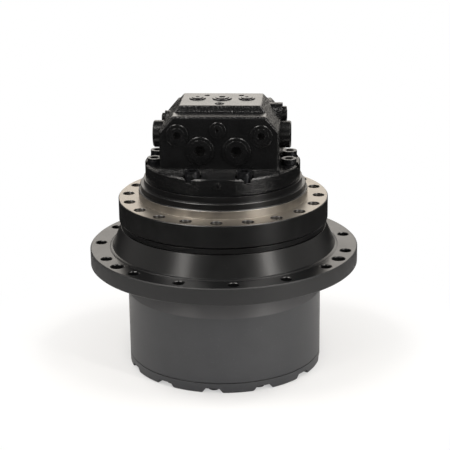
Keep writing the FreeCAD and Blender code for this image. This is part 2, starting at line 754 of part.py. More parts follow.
def make_input_sun():
    phase = sun_phase(SUN_1_TEETH, PLANET_1_TEETH, STAGE_1_PLACES[0])
    gear = external_gear(SUN_1_TEETH, phase, sun_1_low, sun_1_top, 4)
    stem = cyl(SUN_SHAFT_R * 0.9, sun_1_top, coupling_low)
    return gear.fuse([stem, shaft_spline(SUN_SHAFT_R, coupling_low, coupling_mid - END_GAP)])


def make_output_sun():
    gear = external_gear(SUN_2_TEETH, sun_2_phase, sun_2_low, gear_2_top, 3)
    return gear.cut(cyl(SUN_2_BORE_R, sun_2_low - 1, gear_2_top + 1))


def make_first_carrier():
    plate = cyl(CARRIER_1_R, carrier_1_low, carrier_1_top)
    scallop_x = orbit_1 + CARRIER_1_SCALLOP_R * 0.95
    scallop = cyl(CARRIER_1_SCALLOP_R, carrier_1_low - 1, carrier_1_top + 1, scallop_x)
    tools = around(scallop, PLANET_COUNT, STAGE_1_PLACES[0] + 60)
    for place in STAGE_1_PLACES:
        x, y = plan(orbit_1, place)
        tools.append(cyl(PIN_1_R, carrier_1_low - 1, carrier_1_top + 1, x, y))
    plate = cut_all(plate, tools)
    bore = external_gear(SUN_2_TEETH, sun_2_phase, carrier_1_low - 1, carrier_1_top + 1, 3, BACKLASH - FIT)
    return plate.cut(bore)


def make_first_pins():
    pins = []
    head_low = gear_1_low - END_GAP - PIN_1_HEAD_H
    for place in STAGE_1_PLACES:
        x, y = plan(orbit_1, place)
        pins.append(cyl(PIN_1_HEAD_R, head_low, head_low + PIN_1_HEAD_H, x, y).fuse(
            cyl(PIN_1_R, head_low + PIN_1_HEAD_H, carrier_1_top, x, y)))
    return pins


def bridge_bolts():
    places = []
    for place in STAGE_2_PLACES:
        for side in (-1, 1):
            places.append(plan(CARRIER_BOLT_CIRCLE_R, place + 60 + side * CARRIER_BOLT_SPREAD))
    return places


def make_second_carrier():
    """Fixed carrier: two plates and three bridges left standing between the planet pockets."""
    body = cyl(CARRIER_2_R, carrier_2_low, carrier_2_top)
    planet_room = MODULE * (PLANET_2_TEETH / 2 + ADDENDUM) + 2.5
    sun_room = MODULE * (SUN_2_TEETH / 2 + ADDENDUM) + 2.5
    tools = [cyl(sun_room, carrier_2_low - 1, pocket_top), cyl(COUPLING_R + 6, pocket_top - 1, carrier_2_top + 1)]
    for place in STAGE_2_PLACES:
        x, y = plan(orbit_2, place)
        tools.append(cyl(planet_room, pocket_low, pocket_top, x, y))
        tools.append(cyl(PIN_2_R, carrier_2_low - 1, carrier_2_top + 1, x, y))
    for x, y in bridge_bolts():
        tools.append(cyl(CARRIER_BOLT_R + THREAD_FIT, carrier_2_low - 1, carrier_2_top + 1, x, y))
        tools.append(cyl(CARRIER_BOLT_HEAD_R + 1, carrier_2_low - 1, carrier_2_low + CARRIER_BOLT_HEAD_H, x, y))
    return cut_all(body, tools)


def make_carrier_bolts():
    bolts = []
    seat = carrier_2_low + CARRIER_BOLT_HEAD_H
    for x, y in bridge_bolts():
        bolt = cyl(CARRIER_BOLT_HEAD_R, carrier_2_low + 0.5, seat, x, y)
        bolt = bolt.fuse(cyl(CARRIER_BOLT_R, seat, carrier_2_top + CARRIER_BOLT_GRIP, x, y))
        bolts.append(bolt.cut(hexagon(BOLT_HEX, carrier_2_low - 1, carrier_2_low + 5, x, y)))
    return bolts


def make_second_pins():
    return [cyl(PIN_2_R, carrier_2_low, carrier_2_top, *plan(orbit_2, place)) for place in STAGE_2_PLACES]


save("input_sun_gear", make_input_sun())
save("output_sun_gear", make_output_sun())
save("first_stage_carrier", make_first_carrier())
save("first_stage_pins", make_first_pins())
save("second_stage_carrier", make_second_carrier())
save("second_stage_pins", make_second_pins())
save("carrier_bolts", make_carrier_bolts())


# ================================================================ motor case
front_seat_top = cavity_floor - 2.0
front_seat_low = front_seat_top - SHAFT_BEARING_W
seal_seat_low = front_seat_low - SHAFT_SEAL_H - 4.0
swash_face_z = cavity_floor + SWASH_FACE_UP
tilt_axis_z = swash_face_z + SLIPPER_BALL_UP / math.cos(math.radians(SWASH_ANGLE))
TILT_AXIS = V(0, 0, tilt_axis_z)
face_level = tilt_axis_z - SLIPPER_BALL_UP
valve_plate_low = case_top - VALVE_PLATE_T
stack_h = (FRICTION_COUNT + 1) * STEEL_T + FRICTION_COUNT * (FRICTION_T + 2 * DISC_GAP)
stack_top = disc_floor + stack_h
saddle_r = CRADLE_R + SPOOL_PLAY


def tilted(shape):
    """Turn a shape drawn level about the tilt axis to the full-displacement angle."""
    shape.rotate(TILT_AXIS, V(1, 0, 0), SWASH_ANGLE)
    return shape


def block_bolt_places():
    places = []
    for bearing in BLOCK_BOLT_BEARINGS:
        for side in (-1, 1):
            places.append(polar(BLOCK_BOLT_CIRCLE_R, side * bearing))
    return places


def ear_tools(radius, width, low, high):
    """Blocks that reach from the disc room's wall out to the ear grooves."""
    ear = Part.makeBox(radius - DISC_ROOM_R + 10, width, high - low, V(DISC_ROOM_R - 10, -width / 2, low))
    trim = cyl(radius, low, high)
    return [copy.common(trim) for copy in around(ear, STEEL_EAR_COUNT, 30)]


def make_motor_case():
    bore = SPINDLE_R - 1.5
    case = turned([
        (CASE_TAIL_BORE_R, spindle_end), (bore, spindle_end), (SPINDLE_R, spindle_end + 1.5),
        (SPINDLE_R, upper_bearing_top), (CASE_SHOULDER_R, upper_bearing_top),
        (CASE_SHOULDER_R, upper_bearing_top + CASE_SHOULDER_H),
        (CASE_LIP_R, upper_bearing_top + CASE_SHOULDER_H),
        (CASE_LIP_R, hub_seal_floor + 1), (CASE_SEAL_COLLAR_R, hub_seal_floor + 2),
        (CASE_SEAL_COLLAR_R, case_seal_floor), (SEAL_RECESS_R, case_seal_floor),
        (SEAL_RECESS_R, case_low), (FRAME_R - FRAME_CHAMFER, case_low),
        (FRAME_R, case_low + FRAME_CHAMFER), (FRAME_R, frame_face - FRAME_CHAMFER),
        (FRAME_R - FRAME_CHAMFER, frame_face), (PILOT_R, frame_face),
        (PILOT_R, pilot_top - PILOT_CHAMFER), (PILOT_R - PILOT_CHAMFER, pilot_top),
        (COLLAR_R, pilot_top), (COLLAR_R, collar_top - 1), (COLLAR_R - 1, collar_top),
        (CASE_TOP_R, collar_top), (CASE_TOP_R, case_top), (PISTON_ROOM_R, case_top),
        (PISTON_ROOM_R, brake_step), (DISC_ROOM_R, brake_step), (DISC_ROOM_R, disc_floor),
        (SWASH_ROOM_R, disc_floor), (SWASH_ROOM_R, cavity_floor), (SHAFT_BEARING_R + FIT, cavity_floor),
        (SHAFT_BEARING_R + FIT, front_seat_low), (SEAL_SEAT_R, front_seat_low),
        (SEAL_SEAT_R, seal_seat_low), (CASE_TAIL_BORE_R, seal_seat_low)])
    saddles = []
    tools = []
    reach = CRADLE_R + CRADLE_WALL
    under_swash = tilted(Part.makeBox(400, 400, 100, V(-200, -200, face_level - SWASH_T - 2 * RUN_GAP)))
    for side in (-1, 1):
        start_x = CRADLE_X - 1.0 if side > 0 else -CRADLE_X - CRADLE_W - 1.0
        saddle = Part.makeBox(CRADLE_W + 2.0, 2 * reach, CRADLE_H + 1, V(start_x, -reach, cavity_floor - 1))
        saddle = saddle.common(cyl(SWASH_ROOM_R + 1, cavity_floor - 1, disc_floor))
        saddles.append(saddle.cut(under_swash))
        groove = rod(saddle_r, (start_x - 0.5, 0, tilt_axis_z), (1, 0, 0), CRADLE_W + 3.0)
        tools.append(groove)
    case = case.fuse(saddles)
    for k in range(FRAME_HOLE_COUNT):
        x, y = polar(FRAME_PCD / 2, 360.0 * k / FRAME_HOLE_COUNT)
        tools.append(cyl(FRAME_HOLE_R, frame_face - FRAME_HOLE_DEPTH, frame_face + 1, x, y))
        tools.append(Part.makeCone(FRAME_HOLE_R, FRAME_HOLE_R + HOLE_CHAMFER, HOLE_CHAMFER,
                                   V(x, y, frame_face - HOLE_CHAMFER)))
    for x, y in block_bolt_places():
        tools.append(cyl(BLOCK_BOLT_R + THREAD_FIT, case_top - BLOCK_BOLT_GRIP - 3, case_top + 1, x, y))
    for x, y in bridge_bolts():
        tools.append(cyl(CARRIER_BOLT_R + THREAD_FIT, spindle_end - 1, spindle_end + CARRIER_BOLT_GRIP + 3, x, y))
    tools += ear_tools(PISTON_ROOM_R, STEEL_EAR_W + 2 * RUN_GAP, disc_floor, case_top + 1)
    tools.append(cyl(SPEED_PISTON_R + SPOOL_PLAY, cavity_floor - SPEED_PISTON_LEN - 3, cavity_floor + 1,
                     0, SPEED_PISTON_Y))
    return cut_all(case, tools)


save("motor_case", make_motor_case())
save("shaft_seal", tube(SEAL_SEAT_R - FIT, SEAL_JOURNAL_R + RUN_GAP, seal_seat_low, seal_seat_low + SHAFT_SEAL_H))

# ================================================================ shaft bearings
rear_seat_top = case_top + END_GAP + REAR_BEARING_W
# Outer radius, inner radius, width, middle height and the direction of the large end.
SHAFT_BEARINGS = (
    (SHAFT_BEARING_R, FRONT_SEAT_R, SHAFT_BEARING_W, front_seat_low + SHAFT_BEARING_W / 2, 1),
    (REAR_BEARING_R, REAR_SEAT_R, REAR_BEARING_W, rear_seat_top - REAR_BEARING_W / 2, -1))
shaft_cups = []
shaft_cones = []
for outer, inner, width, middle, up in SHAFT_BEARINGS:
    roller_r = (outer - inner) * SHAFT_ROLLER_SHARE
    roller = ((outer + inner) / 2, roller_r, width * 0.62, BEARING_ANGLE)
    shaft_cups.append(bearing_cup(outer, width, middle, up, *roller))
    shaft_cones.append(bearing_cone(inner + FIT, width, middle, up, *roller))
    shaft_cones += bearing_rollers(SHAFT_ROLLER_COUNT, middle, up, *roller)
save("shaft_bearing_cups", shaft_cups)
save("shaft_bearing_cones", shaft_cones)


# ================================================================ swash plate and its saddle side
def make_swash_plate():
    plate = cyl(SWASH_R, face_level - SWASH_T, face_level)
    runners = []
    for start_x in (CRADLE_X, -CRADLE_X - CRADLE_W):
        runner = rod(CRADLE_R, (start_x, 0, tilt_axis_z), (1, 0, 0), CRADLE_W)
        runners.append(runner.common(Part.makeBox(400, 400, 400, V(-200, -200, face_level - 400))))
    plate = tilted(plate.fuse(runners).cut(cyl(SWASH_BORE_R, face_level - 60, face_level + 1)))
    floor = cavity_floor + SWASH_FLOOR_GAP
    slab = Part.makeBox(400, 400, 200, V(-200, -200, floor))
    keep = slab.fuse([rod(CRADLE_R, (-CRADLE_X - CRADLE_W, 0, tilt_axis_z), (1, 0, 0), CRADLE_W),
                      rod(CRADLE_R, (CRADLE_X, 0, tilt_axis_z), (1, 0, 0), CRADLE_W)])
    return plate.common(keep)


save("swash_plate", make_swash_plate())


def piston_places():
    return [360.0 * k / PISTON_COUNT for k in range(PISTON_COUNT)]


def ball_height(y):
    return tilt_axis_z + y * math.tan(math.radians(SWASH_ANGLE))


def make_pistons():
    pistons = []
    for place in piston_places():
        x, y = plan(PISTON_CIRCLE_R, place)
        z = ball_height(y)
        piston = Part.makeSphere(PISTON_BALL_R, V(x, y, z))
        neck = cyl(PISTON_NECK_R, z, z + PISTON_SKIRT, x, y)
        skirt = cyl(PISTON_R, z + PISTON_SKIRT, z + PISTON_LEN, x, y)
        bore = cyl(PISTON_R * 0.6, z + PISTON_SKIRT + 10, z + PISTON_LEN + 1, x, y)
        pistons.append(piston.fuse([neck, skirt]).cut(bore))
    return pistons


def make_slippers():
    slippers = []
    for place in piston_places():
        x, y = plan(PISTON_CIRCLE_R, place)
        centre = V(x, y, ball_height(y))
        low = centre.z - SLIPPER_BALL_UP
        gap = RUN_GAP
        slipper = cyl(SLIPPER_R, low + gap, low + SLIPPER_T, x, y)
        slipper = slipper.fuse(cyl(SLIPPER_NECK_R, low + SLIPPER_T, centre.z + PISTON_BALL_R / 2, x, y))
        slipper = slipper.cut(Part.makeSphere(PISTON_BALL_R + FIT, centre))
        slipper.rotate(centre, V(1, 0, 0), SWASH_ANGLE)
        slippers.append(slipper)
    return slippers


def make_retainer():
    """Plate that keeps the slippers down; drawn level in the slippers' own plane."""
    low = face_level + SLIPPER_T + RUN_GAP
    stretch = 1 / math.cos(math.radians(SWASH_ANGLE))
    hole_r = SLIPPER_NECK_R + PISTON_CIRCLE_R * (stretch - 1) / 2 + RUN_GAP
    plate = cyl(RETAINER_R, low, low + RETAINER_T)
    tools = [Part.makeSphere(GUIDE_R + RUN_GAP, TILT_AXIS)]
    for place in piston_places():
        x, y = plan(PISTON_CIRCLE_R * (1 + stretch) / 2, place)
        tools.append(cyl(hole_r, low - 1, low + RETAINER_T + 1, x, y))
    return tilted(cut_all(plate, tools))


block_low = ball_height(PISTON_CIRCLE_R) + BLOCK_LIFT
block_high = valve_plate_low - RUN_GAP
bore_top = ball_height(PISTON_CIRCLE_R) + PISTON_LEN + 1.5


def make_guide():
    ball = Part.makeSphere(GUIDE_R, TILT_AXIS)
    band = cyl(GUIDE_R + 1, tilt_axis_z - 6, block_low)
    return ball.common(band).cut(shaft_spline(SHAFT_SPLINE_R, tilt_axis_z - 10, block_low + 1, FIT))


def make_cylinder_block():
    block = cyl(BLOCK_R, block_low, block_high)
    reach = BLOCK_SPLINE_R - BLOCK_R + 4
    tooth = Part.makeBox(reach, BLOCK_SPLINE_W, stack_h, V(BLOCK_SPLINE_R - reach, -BLOCK_SPLINE_W / 2, disc_floor))
    block = block.fuse(around(tooth, BLOCK_SPLINE_COUNT))
    tools = [shaft_spline(SHAFT_SPLINE_R, block_low - 1, block_high + 1, FIT)]
    for place in piston_places():
        x, y = plan(PISTON_CIRCLE_R, place)
        tools.append(cyl(PISTON_R + FIT, block_low - 1, bore_top, x, y))
        tools.append(cyl(KIDNEY_W / 2, bore_top - 1, block_high + 1, x, y))
    return cut_all(block, tools)


def make_motor_shaft():
    low = coupling_mid + END_GAP
    return shaft_spline(COUPLING_BORE_R, low, coupling_top).fuse([
        cyl(SEAL_JOURNAL_R, coupling_top, front_seat_low),
        cyl(FRONT_SEAT_R, front_seat_low, front_seat_top),
        cyl(FRONT_SEAT_R + 3, front_seat_top, front_seat_top + 4),
        shaft_spline(SHAFT_SPLINE_R, front_seat_top + 4, block_high),
        cyl(SHAFT_SPLINE_R * 0.9, block_high, case_top + END_GAP),
        cyl(REAR_SEAT_R, case_top + END_GAP, rear_seat_top + 1)])


def make_coupling():
    sleeve = cyl(COUPLING_R, coupling_low, coupling_top)
    return sleeve.cut(shaft_spline(COUPLING_BORE_R, coupling_low - 1, coupling_top + 1, FIT))


def kidneys(low, high, width):
    """Two curved ports, one each side of the motor's middle plane."""
    outer = KIDNEY_R + width / 2
    inner = KIDNEY_R - width / 2
    slots = []
    for start in (-62, 118):
        wedge = Part.makeCylinder(outer, high - low, V(0, 0, low), V(0, 0, 1), 124)
        wedge.rotate(V(0, 0, 0), V(0, 0, 1), start)
        slots.append(wedge.cut(cyl(inner, low - 1, high + 1)))
    return slots


def make_valve_plate():
    plate = tube(VALVE_PLATE_R, VALVE_PLATE_BORE_R, valve_plate_low, case_top)
    return cut_all(plate, kidneys(valve_plate_low - 1, case_top + 1, KIDNEY_W))


save("pistons", make_pistons())
save("slippers", make_slippers())
save("slipper_retainer", make_retainer())
save("retainer_guide", make_guide())
save("cylinder_block", make_cylinder_block())
save("motor_shaft", make_motor_shaft())
save("shaft_coupling", make_coupling())
save("valve_plate", make_valve_plate())


# ================================================================ parking brake and speed piston
def make_friction_discs():
    discs = []
    reach = BLOCK_SPLINE_R - BLOCK_R + 4
    width = BLOCK_SPLINE_W + 2 * FIT
    for k in range(FRICTION_COUNT):
        low = disc_floor + STEEL_T + DISC_GAP + k * (STEEL_T + FRICTION_T + 2 * DISC_GAP)
        disc = tube(FRICTION_R, BLOCK_R + FIT, low, low + FRICTION_T)
        notch_box = Part.makeBox(reach, width, FRICTION_T + 2, V(BLOCK_SPLINE_R - reach + FIT, -width / 2, low - 1))
        discs.append(cut_all(disc, around(notch_box, BLOCK_SPLINE_COUNT)))
    return discs


def make_steel_plates():
    plates = []
    for k in range(FRICTION_COUNT + 1):
        low = disc_floor + k * (STEEL_T + FRICTION_T + 2 * DISC_GAP)
        ears = ear_tools(DISC_ROOM_R + STEEL_EAR - RUN_GAP, STEEL_EAR_W, low, low + STEEL_T)
        plate = cyl(DISC_ROOM_R - RUN_GAP, low, low + STEEL_T).fuse(ears)
        plates.append(plate.cut(cyl(STEEL_BORE_R, low - 1, low + STEEL_T + 1)))
    return plates


def make_brake_piston():
    low = stack_top + RUN_GAP
    step = brake_step + BRAKE_STEP_PLAY
    top = low + BRAKE_PISTON_H
    return turned([(BRAKE_PISTON_BORE_R, low), (DISC_ROOM_R - SPOOL_PLAY, low), (DISC_ROOM_R - SPOOL_PLAY, step),
                   (PISTON_ROOM_R - SPOOL_PLAY, step), (PISTON_ROOM_R - SPOOL_PLAY, top),
                   (BRAKE_PISTON_BORE_R, top)])


def make_brake_springs():
    """Disc springs in series between the brake piston and the valve block."""
    low = stack_top + RUN_GAP + BRAKE_PISTON_H + RUN_GAP
    pitch = (case_top - low) / SPRING_COUNT
    outer = PISTON_ROOM_R - 3
    springs = []
    for k in range(SPRING_COUNT):
        base = low + k * pitch
        heights = (0, pitch - SPRING_T) if k % 2 == 0 else (pitch - SPRING_T, 0)
        springs.append(turned([(SPRING_BORE_R, base + heights[0]), (outer, base + heights[1]),
                               (outer, base + heights[1] + SPRING_T),
                               (SPRING_BORE_R, base + heights[0] + SPRING_T)]))
    return springs


def make_speed_piston():
    top = cavity_floor + SWASH_FLOOR_GAP - RUN_GAP
    body = cyl(SPEED_PISTON_R, cavity_floor - SPEED_PISTON_LEN, top, 0, SPEED_PISTON_Y)
    return body.common(Part.makeSphere(SPEED_PISTON_DOME_R, V(0, SPEED_PISTON_Y, top - SPEED_PISTON_DOME_R)))


save("brake_friction_discs", make_friction_discs())
save("brake_steel_plates", make_steel_plates())
save("brake_piston", make_brake_piston())
save("brake_springs", make_brake_springs())
save("speed_piston", make_speed_piston())


# ================================================================ valve block
spool_z = block_flange_top + SPOOL_UP
spool_len = HOUSING_W - 2 * SPOOL_END_ROOM
side_x = HOUSING_W / 2
top_x = side_x - HOUSING_SHOULDER
shoulder_z = block_flange_top + HOUSING_SIDE_H

# Each port: x, height above the flange, head radius, head height, boss radius, thread radius, hex size.
MAIN_PORTS = ((-30.0, 35.0), (27.5, 34.0))
MAIN_PORT_HEAD_R = 23.0
MAIN_PORT_BOSS_R = 17.5
MAIN_PORT_THREAD_R = 16.5
MAIN_PORT_HEX = 17.0
RELIEF_PORTS = ((-66.0, 60.0), (66.5, 59.0))
RELIEF_HEAD_R = 18.0
RELIEF_BOSS_R = 12.0
RELIEF_THREAD_R = 13.5
RELIEF_HEX = 12.0
PILOT_PORT = (-2.0, 68.6)
PILOT_HEAD_R = 13.2
PILOT_BOSS_R = 8.4
PILOT_THREAD_R = 7.0
PILOT_HEX = 6.0
HEAD_T = 2.5
BOSS_T = 1.5
PORT_THREAD_LEN = 18.0
TOP_PLUGS = ((0.0, 7.0, 16.0, 10.0), (-40.0, 7.0, 13.5, 6.0), (40.0, 7.0, 13.5, 6.0))
TOP_BLEED = (-2.0, -28.0, 5.5)
FLANGE_PLUG = (0.0, 16.0, 5.6)
TAP_X = (-26.0, 30.0)
TAP_Y = 28.0
TAP_R = 4.4
TAP_DEPTH = 16.0
RIGHT_BOSS = (34.0, 67.0, 20.0, side_x + 2.0)     # y, height above the flange, radius, outer face x
RIGHT_BOSS_PLUG_R = 14.0
RIGHT_BOSS_PLUG_T = 7.0
LEFT_BOSS = (30.0, 62.0, 12.0, side_x + 1.0)
LEFT_BOSS_PLUG_R = 8.0
LEFT_BOSS_PLUG_T = 5.0


def placed(shape, origin, direction):
    """Move a shape drawn on the +Z axis so that its base sits at origin and +Z points along direction."""
    shape.Placement = FreeCAD.Placement(V(*origin), FreeCAD.Rotation(V(0, 0, 1), V(*direction)))
    return shape


def plug(head_r, head_t, boss_r, boss_t, thread_r, thread_len, across):
    """Screwed plug: chamfered head, raised centre with a hexagon socket, thread below."""
    chamfer = min(1.0, head_t / 3)
    body = turned([(0, -thread_len), (thread_r, -thread_len), (thread_r, 0), (head_r, 0),
                   (head_r, head_t - chamfer), (head_r - chamfer, head_t), (boss_r, head_t),
                   (boss_r, head_t + boss_t), (0, head_t + boss_t)])
    return body.cut(hexagon(across, head_t + boss_t - across * 0.6, head_t + boss_t + 1))


def port_tool(thread_r, depth):
    return cyl(thread_r + THREAD_FIT, -depth, 1)


def front_ports():
    """(kind, x, z) of every port on the front face."""
    ports = [("main", x, block_flange_top + up) for x, up in MAIN_PORTS]
    ports += [("relief", x, block_flange_top + up) for x, up in RELIEF_PORTS]
    ports.append(("pilot", PILOT_PORT[0], block_flange_top + PILOT_PORT[1]))
    return ports


FRONT_PLUGS = {
    "main": (MAIN_PORT_HEAD_R, HEAD_T, MAIN_PORT_BOSS_R, BOSS_T, MAIN_PORT_THREAD_R, PORT_THREAD_LEN, MAIN_PORT_HEX),
    "relief": (RELIEF_HEAD_R, HEAD_T, RELIEF_BOSS_R, BOSS_T, RELIEF_THREAD_R, PORT_THREAD_LEN, RELIEF_HEX),
    "pilot": (PILOT_HEAD_R, HEAD_T, PILOT_BOSS_R, BOSS_T, PILOT_THREAD_R, PORT_THREAD_LEN, PILOT_HEX)}


def make_front_plugs(kind):
    plugs = []
    for port_kind, x, z in front_ports():
        if port_kind == kind:
            plugs.append(placed(plug(*FRONT_PLUGS[kind]), (x, HOUSING_FRONT_Y, z), (0, -1, 0)))
    return plugs


def housing_outline():
    low = block_flange_top
    return [(-side_x, low), (side_x, low), (side_x, shoulder_z), (top_x, block_top),
            (-top_x, block_top), (-side_x, shoulder_z)]


def make_housing():
    """The cast block above the round flange: chamfered shoulders, front and back ledges."""
    corners = [V(x, HOUSING_FRONT_Y, z) for x, z in housing_outline()]
    corners.append(corners[0])
    block = Part.Face(Part.makePolygon(corners)).extrude(V(0, HOUSING_BACK_Y - HOUSING_FRONT_Y, 0))
    front = block_top - LEDGE_DROP
    back = block_top - BACK_LEDGE_DROP
    over = block_top + 5
    front_cut = [(HOUSING_FRONT_Y - 1, front), (LEDGE_BACK_Y, front), (LEDGE_BACK_Y + LEDGE_SLOPE, block_top),
                 (LEDGE_BACK_Y + LEDGE_SLOPE, over), (HOUSING_FRONT_Y - 1, over)]
    back_cut = [(HOUSING_BACK_Y + 1, back), (BACK_LEDGE_Y, back), (BACK_LEDGE_Y - LEDGE_SLOPE, block_top),
                (BACK_LEDGE_Y - LEDGE_SLOPE, over), (HOUSING_BACK_Y + 1, over)]
    for outline in (front_cut, back_cut):
        points = [V(-side_x - 5, y, z) for y, z in outline]
        points.append(points[0])
        block = block.cut(Part.Face(Part.makePolygon(points)).extrude(V(HOUSING_W + 10, 0, 0)))
    edges = [edge for edge in block.Edges if edge.BoundBox.ZMax > block_flange_top + FOOT_H + 1]
    return block.makeFillet(HOUSING_ROUND, edges)


def make_foot():
    """Cast flare where the block grows out of the flange."""
    sections = []
    for grow, z in ((FOOT_FLARE, block_flange_top), (-0.5, block_flange_top + FOOT_H)):
        points = [V(-side_x - grow, HOUSING_FRONT_Y - grow, z), V(side_x + grow, HOUSING_FRONT_Y - grow, z),
                  V(side_x + grow, HOUSING_BACK_Y + grow, z), V(-side_x - grow, HOUSING_BACK_Y + grow, z)]
        points.append(points[0])
        sections.append(Part.makePolygon(points))
    return Part.makeLoft(sections, True)


def make_valve_block():
    r = FLANGE_ROUND
    flange = turned([(0, case_top), (FLANGE_R - 1, case_top), (FLANGE_R, case_top + 1),
                     (FLANGE_R, block_flange_top - r), (FLANGE_R - r, block_flange_top), (0, block_flange_top)])
    flange = flange.cut(Part.makeBox(400, 100, 100, V(-200, -FLANGE_FLAT_Y - 100, case_top - 1)))
    y, up, radius, outer_x = RIGHT_BOSS
    right = rod(radius, (side_x - 50, y, block_flange_top + up), (1, 0, 0), outer_x - side_x + 50)
    y, up, radius, outer_x = LEFT_BOSS
    left = rod(radius, (-side_x + 40, y, block_flange_top + up), (-1, 0, 0), outer_x - side_x + 40)
    block = flange.fuse([make_housing(), make_foot(), right, left])
    tools = []
    pocket_floor = block_flange_top - BLOCK_BOLT_POCKET
    for x, y in block_bolt_places():
        tools.append(cyl(BLOCK_BOLT_POCKET_R, pocket_floor, pocket_floor + 24, x, y))
        tools.append(cyl(BLOCK_BOLT_R + 0.5, case_top - 1, pocket_floor + 1, x, y))
    tools.append(cyl(REAR_BEARING_R + FIT, case_top - 1, rear_seat_top))
    tools.append(cyl(REAR_SEAT_R + 3, rear_seat_top - 1, rear_seat_top + 4))
    tools += kidneys(case_top - 1, case_top + 12, KIDNEY_W - 1)
    tools.append(rod(SPOOL_R + SPOOL_PLAY, (-side_x - 5, SPOOL_Y, spool_z), (1, 0, 0), HOUSING_W + 10))
    for side in (-1, 1):
        start = (side * (side_x - CAP_THREAD_LEN), SPOOL_Y, spool_z)
        tools.append(rod(CAP_THREAD_R + THREAD_FIT, start, (side, 0, 0), CAP_THREAD_LEN + 5))
    for kind, x, z in front_ports():
        thread_r = FRONT_PLUGS[kind][4]
        tools.append(placed(port_tool(thread_r, PORT_THREAD_LEN + 4), (x, HOUSING_FRONT_Y, z), (0, -1, 0)))
    for x, y, head_r, hex_size in TOP_PLUGS:
        tools.append(cyl(head_r * 0.6 + THREAD_FIT, block_top - 18, block_top + 1, x, y))
    x, y, radius = TOP_BLEED
    tools.append(cyl(radius + THREAD_FIT, block_top - 14, block_top + 1, x, y))
    x, up, radius = FLANGE_PLUG
    tools.append(placed(port_tool(radius, 14), (x, -FLANGE_FLAT_Y, case_top + up), (0, -1, 0)))
    for x in TAP_X:
        tools.append(cyl(TAP_R, block_top - TAP_DEPTH, block_top + 1, x, TAP_Y))
    y, up, radius, outer_x = RIGHT_BOSS
    tools.append(placed(port_tool(RIGHT_BOSS_PLUG_R * 0.7, 22), (outer_x, y, block_flange_top + up), (1, 0, 0)))
    y, up, radius, outer_x = LEFT_BOSS
    tools.append(placed(port_tool(LEFT_BOSS_PLUG_R * 0.7, 16), (-outer_x, y, block_flange_top + up), (-1, 0, 0)))
    return cut_all(block, tools)


def make_block_bolts():
    bolts = []
    seat = block_flange_top - BLOCK_BOLT_POCKET
    for x, y in block_bolt_places():
        head_top = seat + BLOCK_BOLT_HEAD_H
        head = cyl(BLOCK_BOLT_HEAD_R, seat, head_top, x, y)
        bolt = head.fuse(cyl(BLOCK_BOLT_R, case_top - BLOCK_BOLT_GRIP, seat, x, y))
        bolts.append(bolt.cut(hexagon(BLOCK_BOLT_HEX, head_top - BLOCK_BOLT_HEX * 0.55, head_top + 1, x, y)))
    return bolts


def make_cap(side):
    """Spring-chamber cap on one end of the spool bore."""
    cap = turned([(0, CAP_OUT), (0, CAP_OUT - CAP_WALL), (CAP_BORE_R, CAP_OUT - CAP_WALL),
                  (CAP_BORE_R, -CAP_THREAD_LEN), (CAP_THREAD_R, -CAP_THREAD_LEN), (CAP_THREAD_R, 0),
                  (CAP_R, 0), (CAP_R, CAP_OUT - 2), (CAP_R - 2, CAP_OUT)])
    cap = cap.cut(hexagon(CAP_HEX, CAP_OUT - CAP_WALL + 2, CAP_OUT + 1))
    return placed(cap, (side * side_x, SPOOL_Y, spool_z), (side, 0, 0))


def make_spool():
    land = spool_len / (2 * SPOOL_LAND_COUNT - 1)
    spool = rod(SPOOL_GROOVE_R, (-spool_len / 2, SPOOL_Y, spool_z), (1, 0, 0), spool_len)
    lands = []
    for k in range(SPOOL_LAND_COUNT):
        start_x = -spool_len / 2 + 2 * k * land
        lands.append(rod(SPOOL_R, (start_x, SPOOL_Y, spool_z), (1, 0, 0), land))
    return spool.fuse(lands)


def make_spool_springs():
    """Centring springs of square wire, one in each cap."""
    springs = []
    low = spool_len / 2 - side_x + RUN_GAP
    length = CAP_OUT - CAP_WALL - low
    mean_r = CAP_BORE_R - RUN_GAP - SPRING_WIRE / 2 - 0.3
    pitch = (length - SPRING_WIRE) / SPRING_TURNS
    half = SPRING_WIRE / 2
    helix = Part.makeHelix(pitch, length - SPRING_WIRE, mean_r)
    corners = [V(mean_r - half, 0, -half), V(mean_r + half, 0, -half), V(mean_r + half, 0, half),
               V(mean_r - half, 0, half), V(mean_r - half, 0, -half)]
    wire = Part.Wire(helix).makePipeShell([Part.makePolygon(corners)], True, True)
    for side in (-1, 1):
        coil = wire.copy()
        coil.translate(V(0, 0, low + half))
        turn = FreeCAD.Placement(V(side * side_x, SPOOL_Y, spool_z), FreeCAD.Rotation(V(0, 0, 1), V(side, 0, 0)))
        springs.append(coil.transformGeometry(turn.toMatrix()))
    return springs


def make_small_plugs():
    plugs = []
    for x, y, head_r, hex_size in TOP_PLUGS:
        plugs.append(placed(plug(head_r, 1.5, head_r * 0.7, 1.0, head_r * 0.6, 14, hex_size),
                            (x, y, block_top), (0, 0, 1)))
    x, y, radius = TOP_BLEED
    plugs.append(placed(plug(radius + 2, 1.2, radius * 0.8, 0.6, radius, 10, 4.0), (x, y, block_top), (0, 0, 1)))
    x, up, radius = FLANGE_PLUG
    plugs.append(placed(plug(radius + 1, 1.2, radius * 0.8, 0.6, radius, 10, 5.0),
                        (x, -FLANGE_FLAT_Y, case_top + up), (0, -1, 0)))
    return plugs


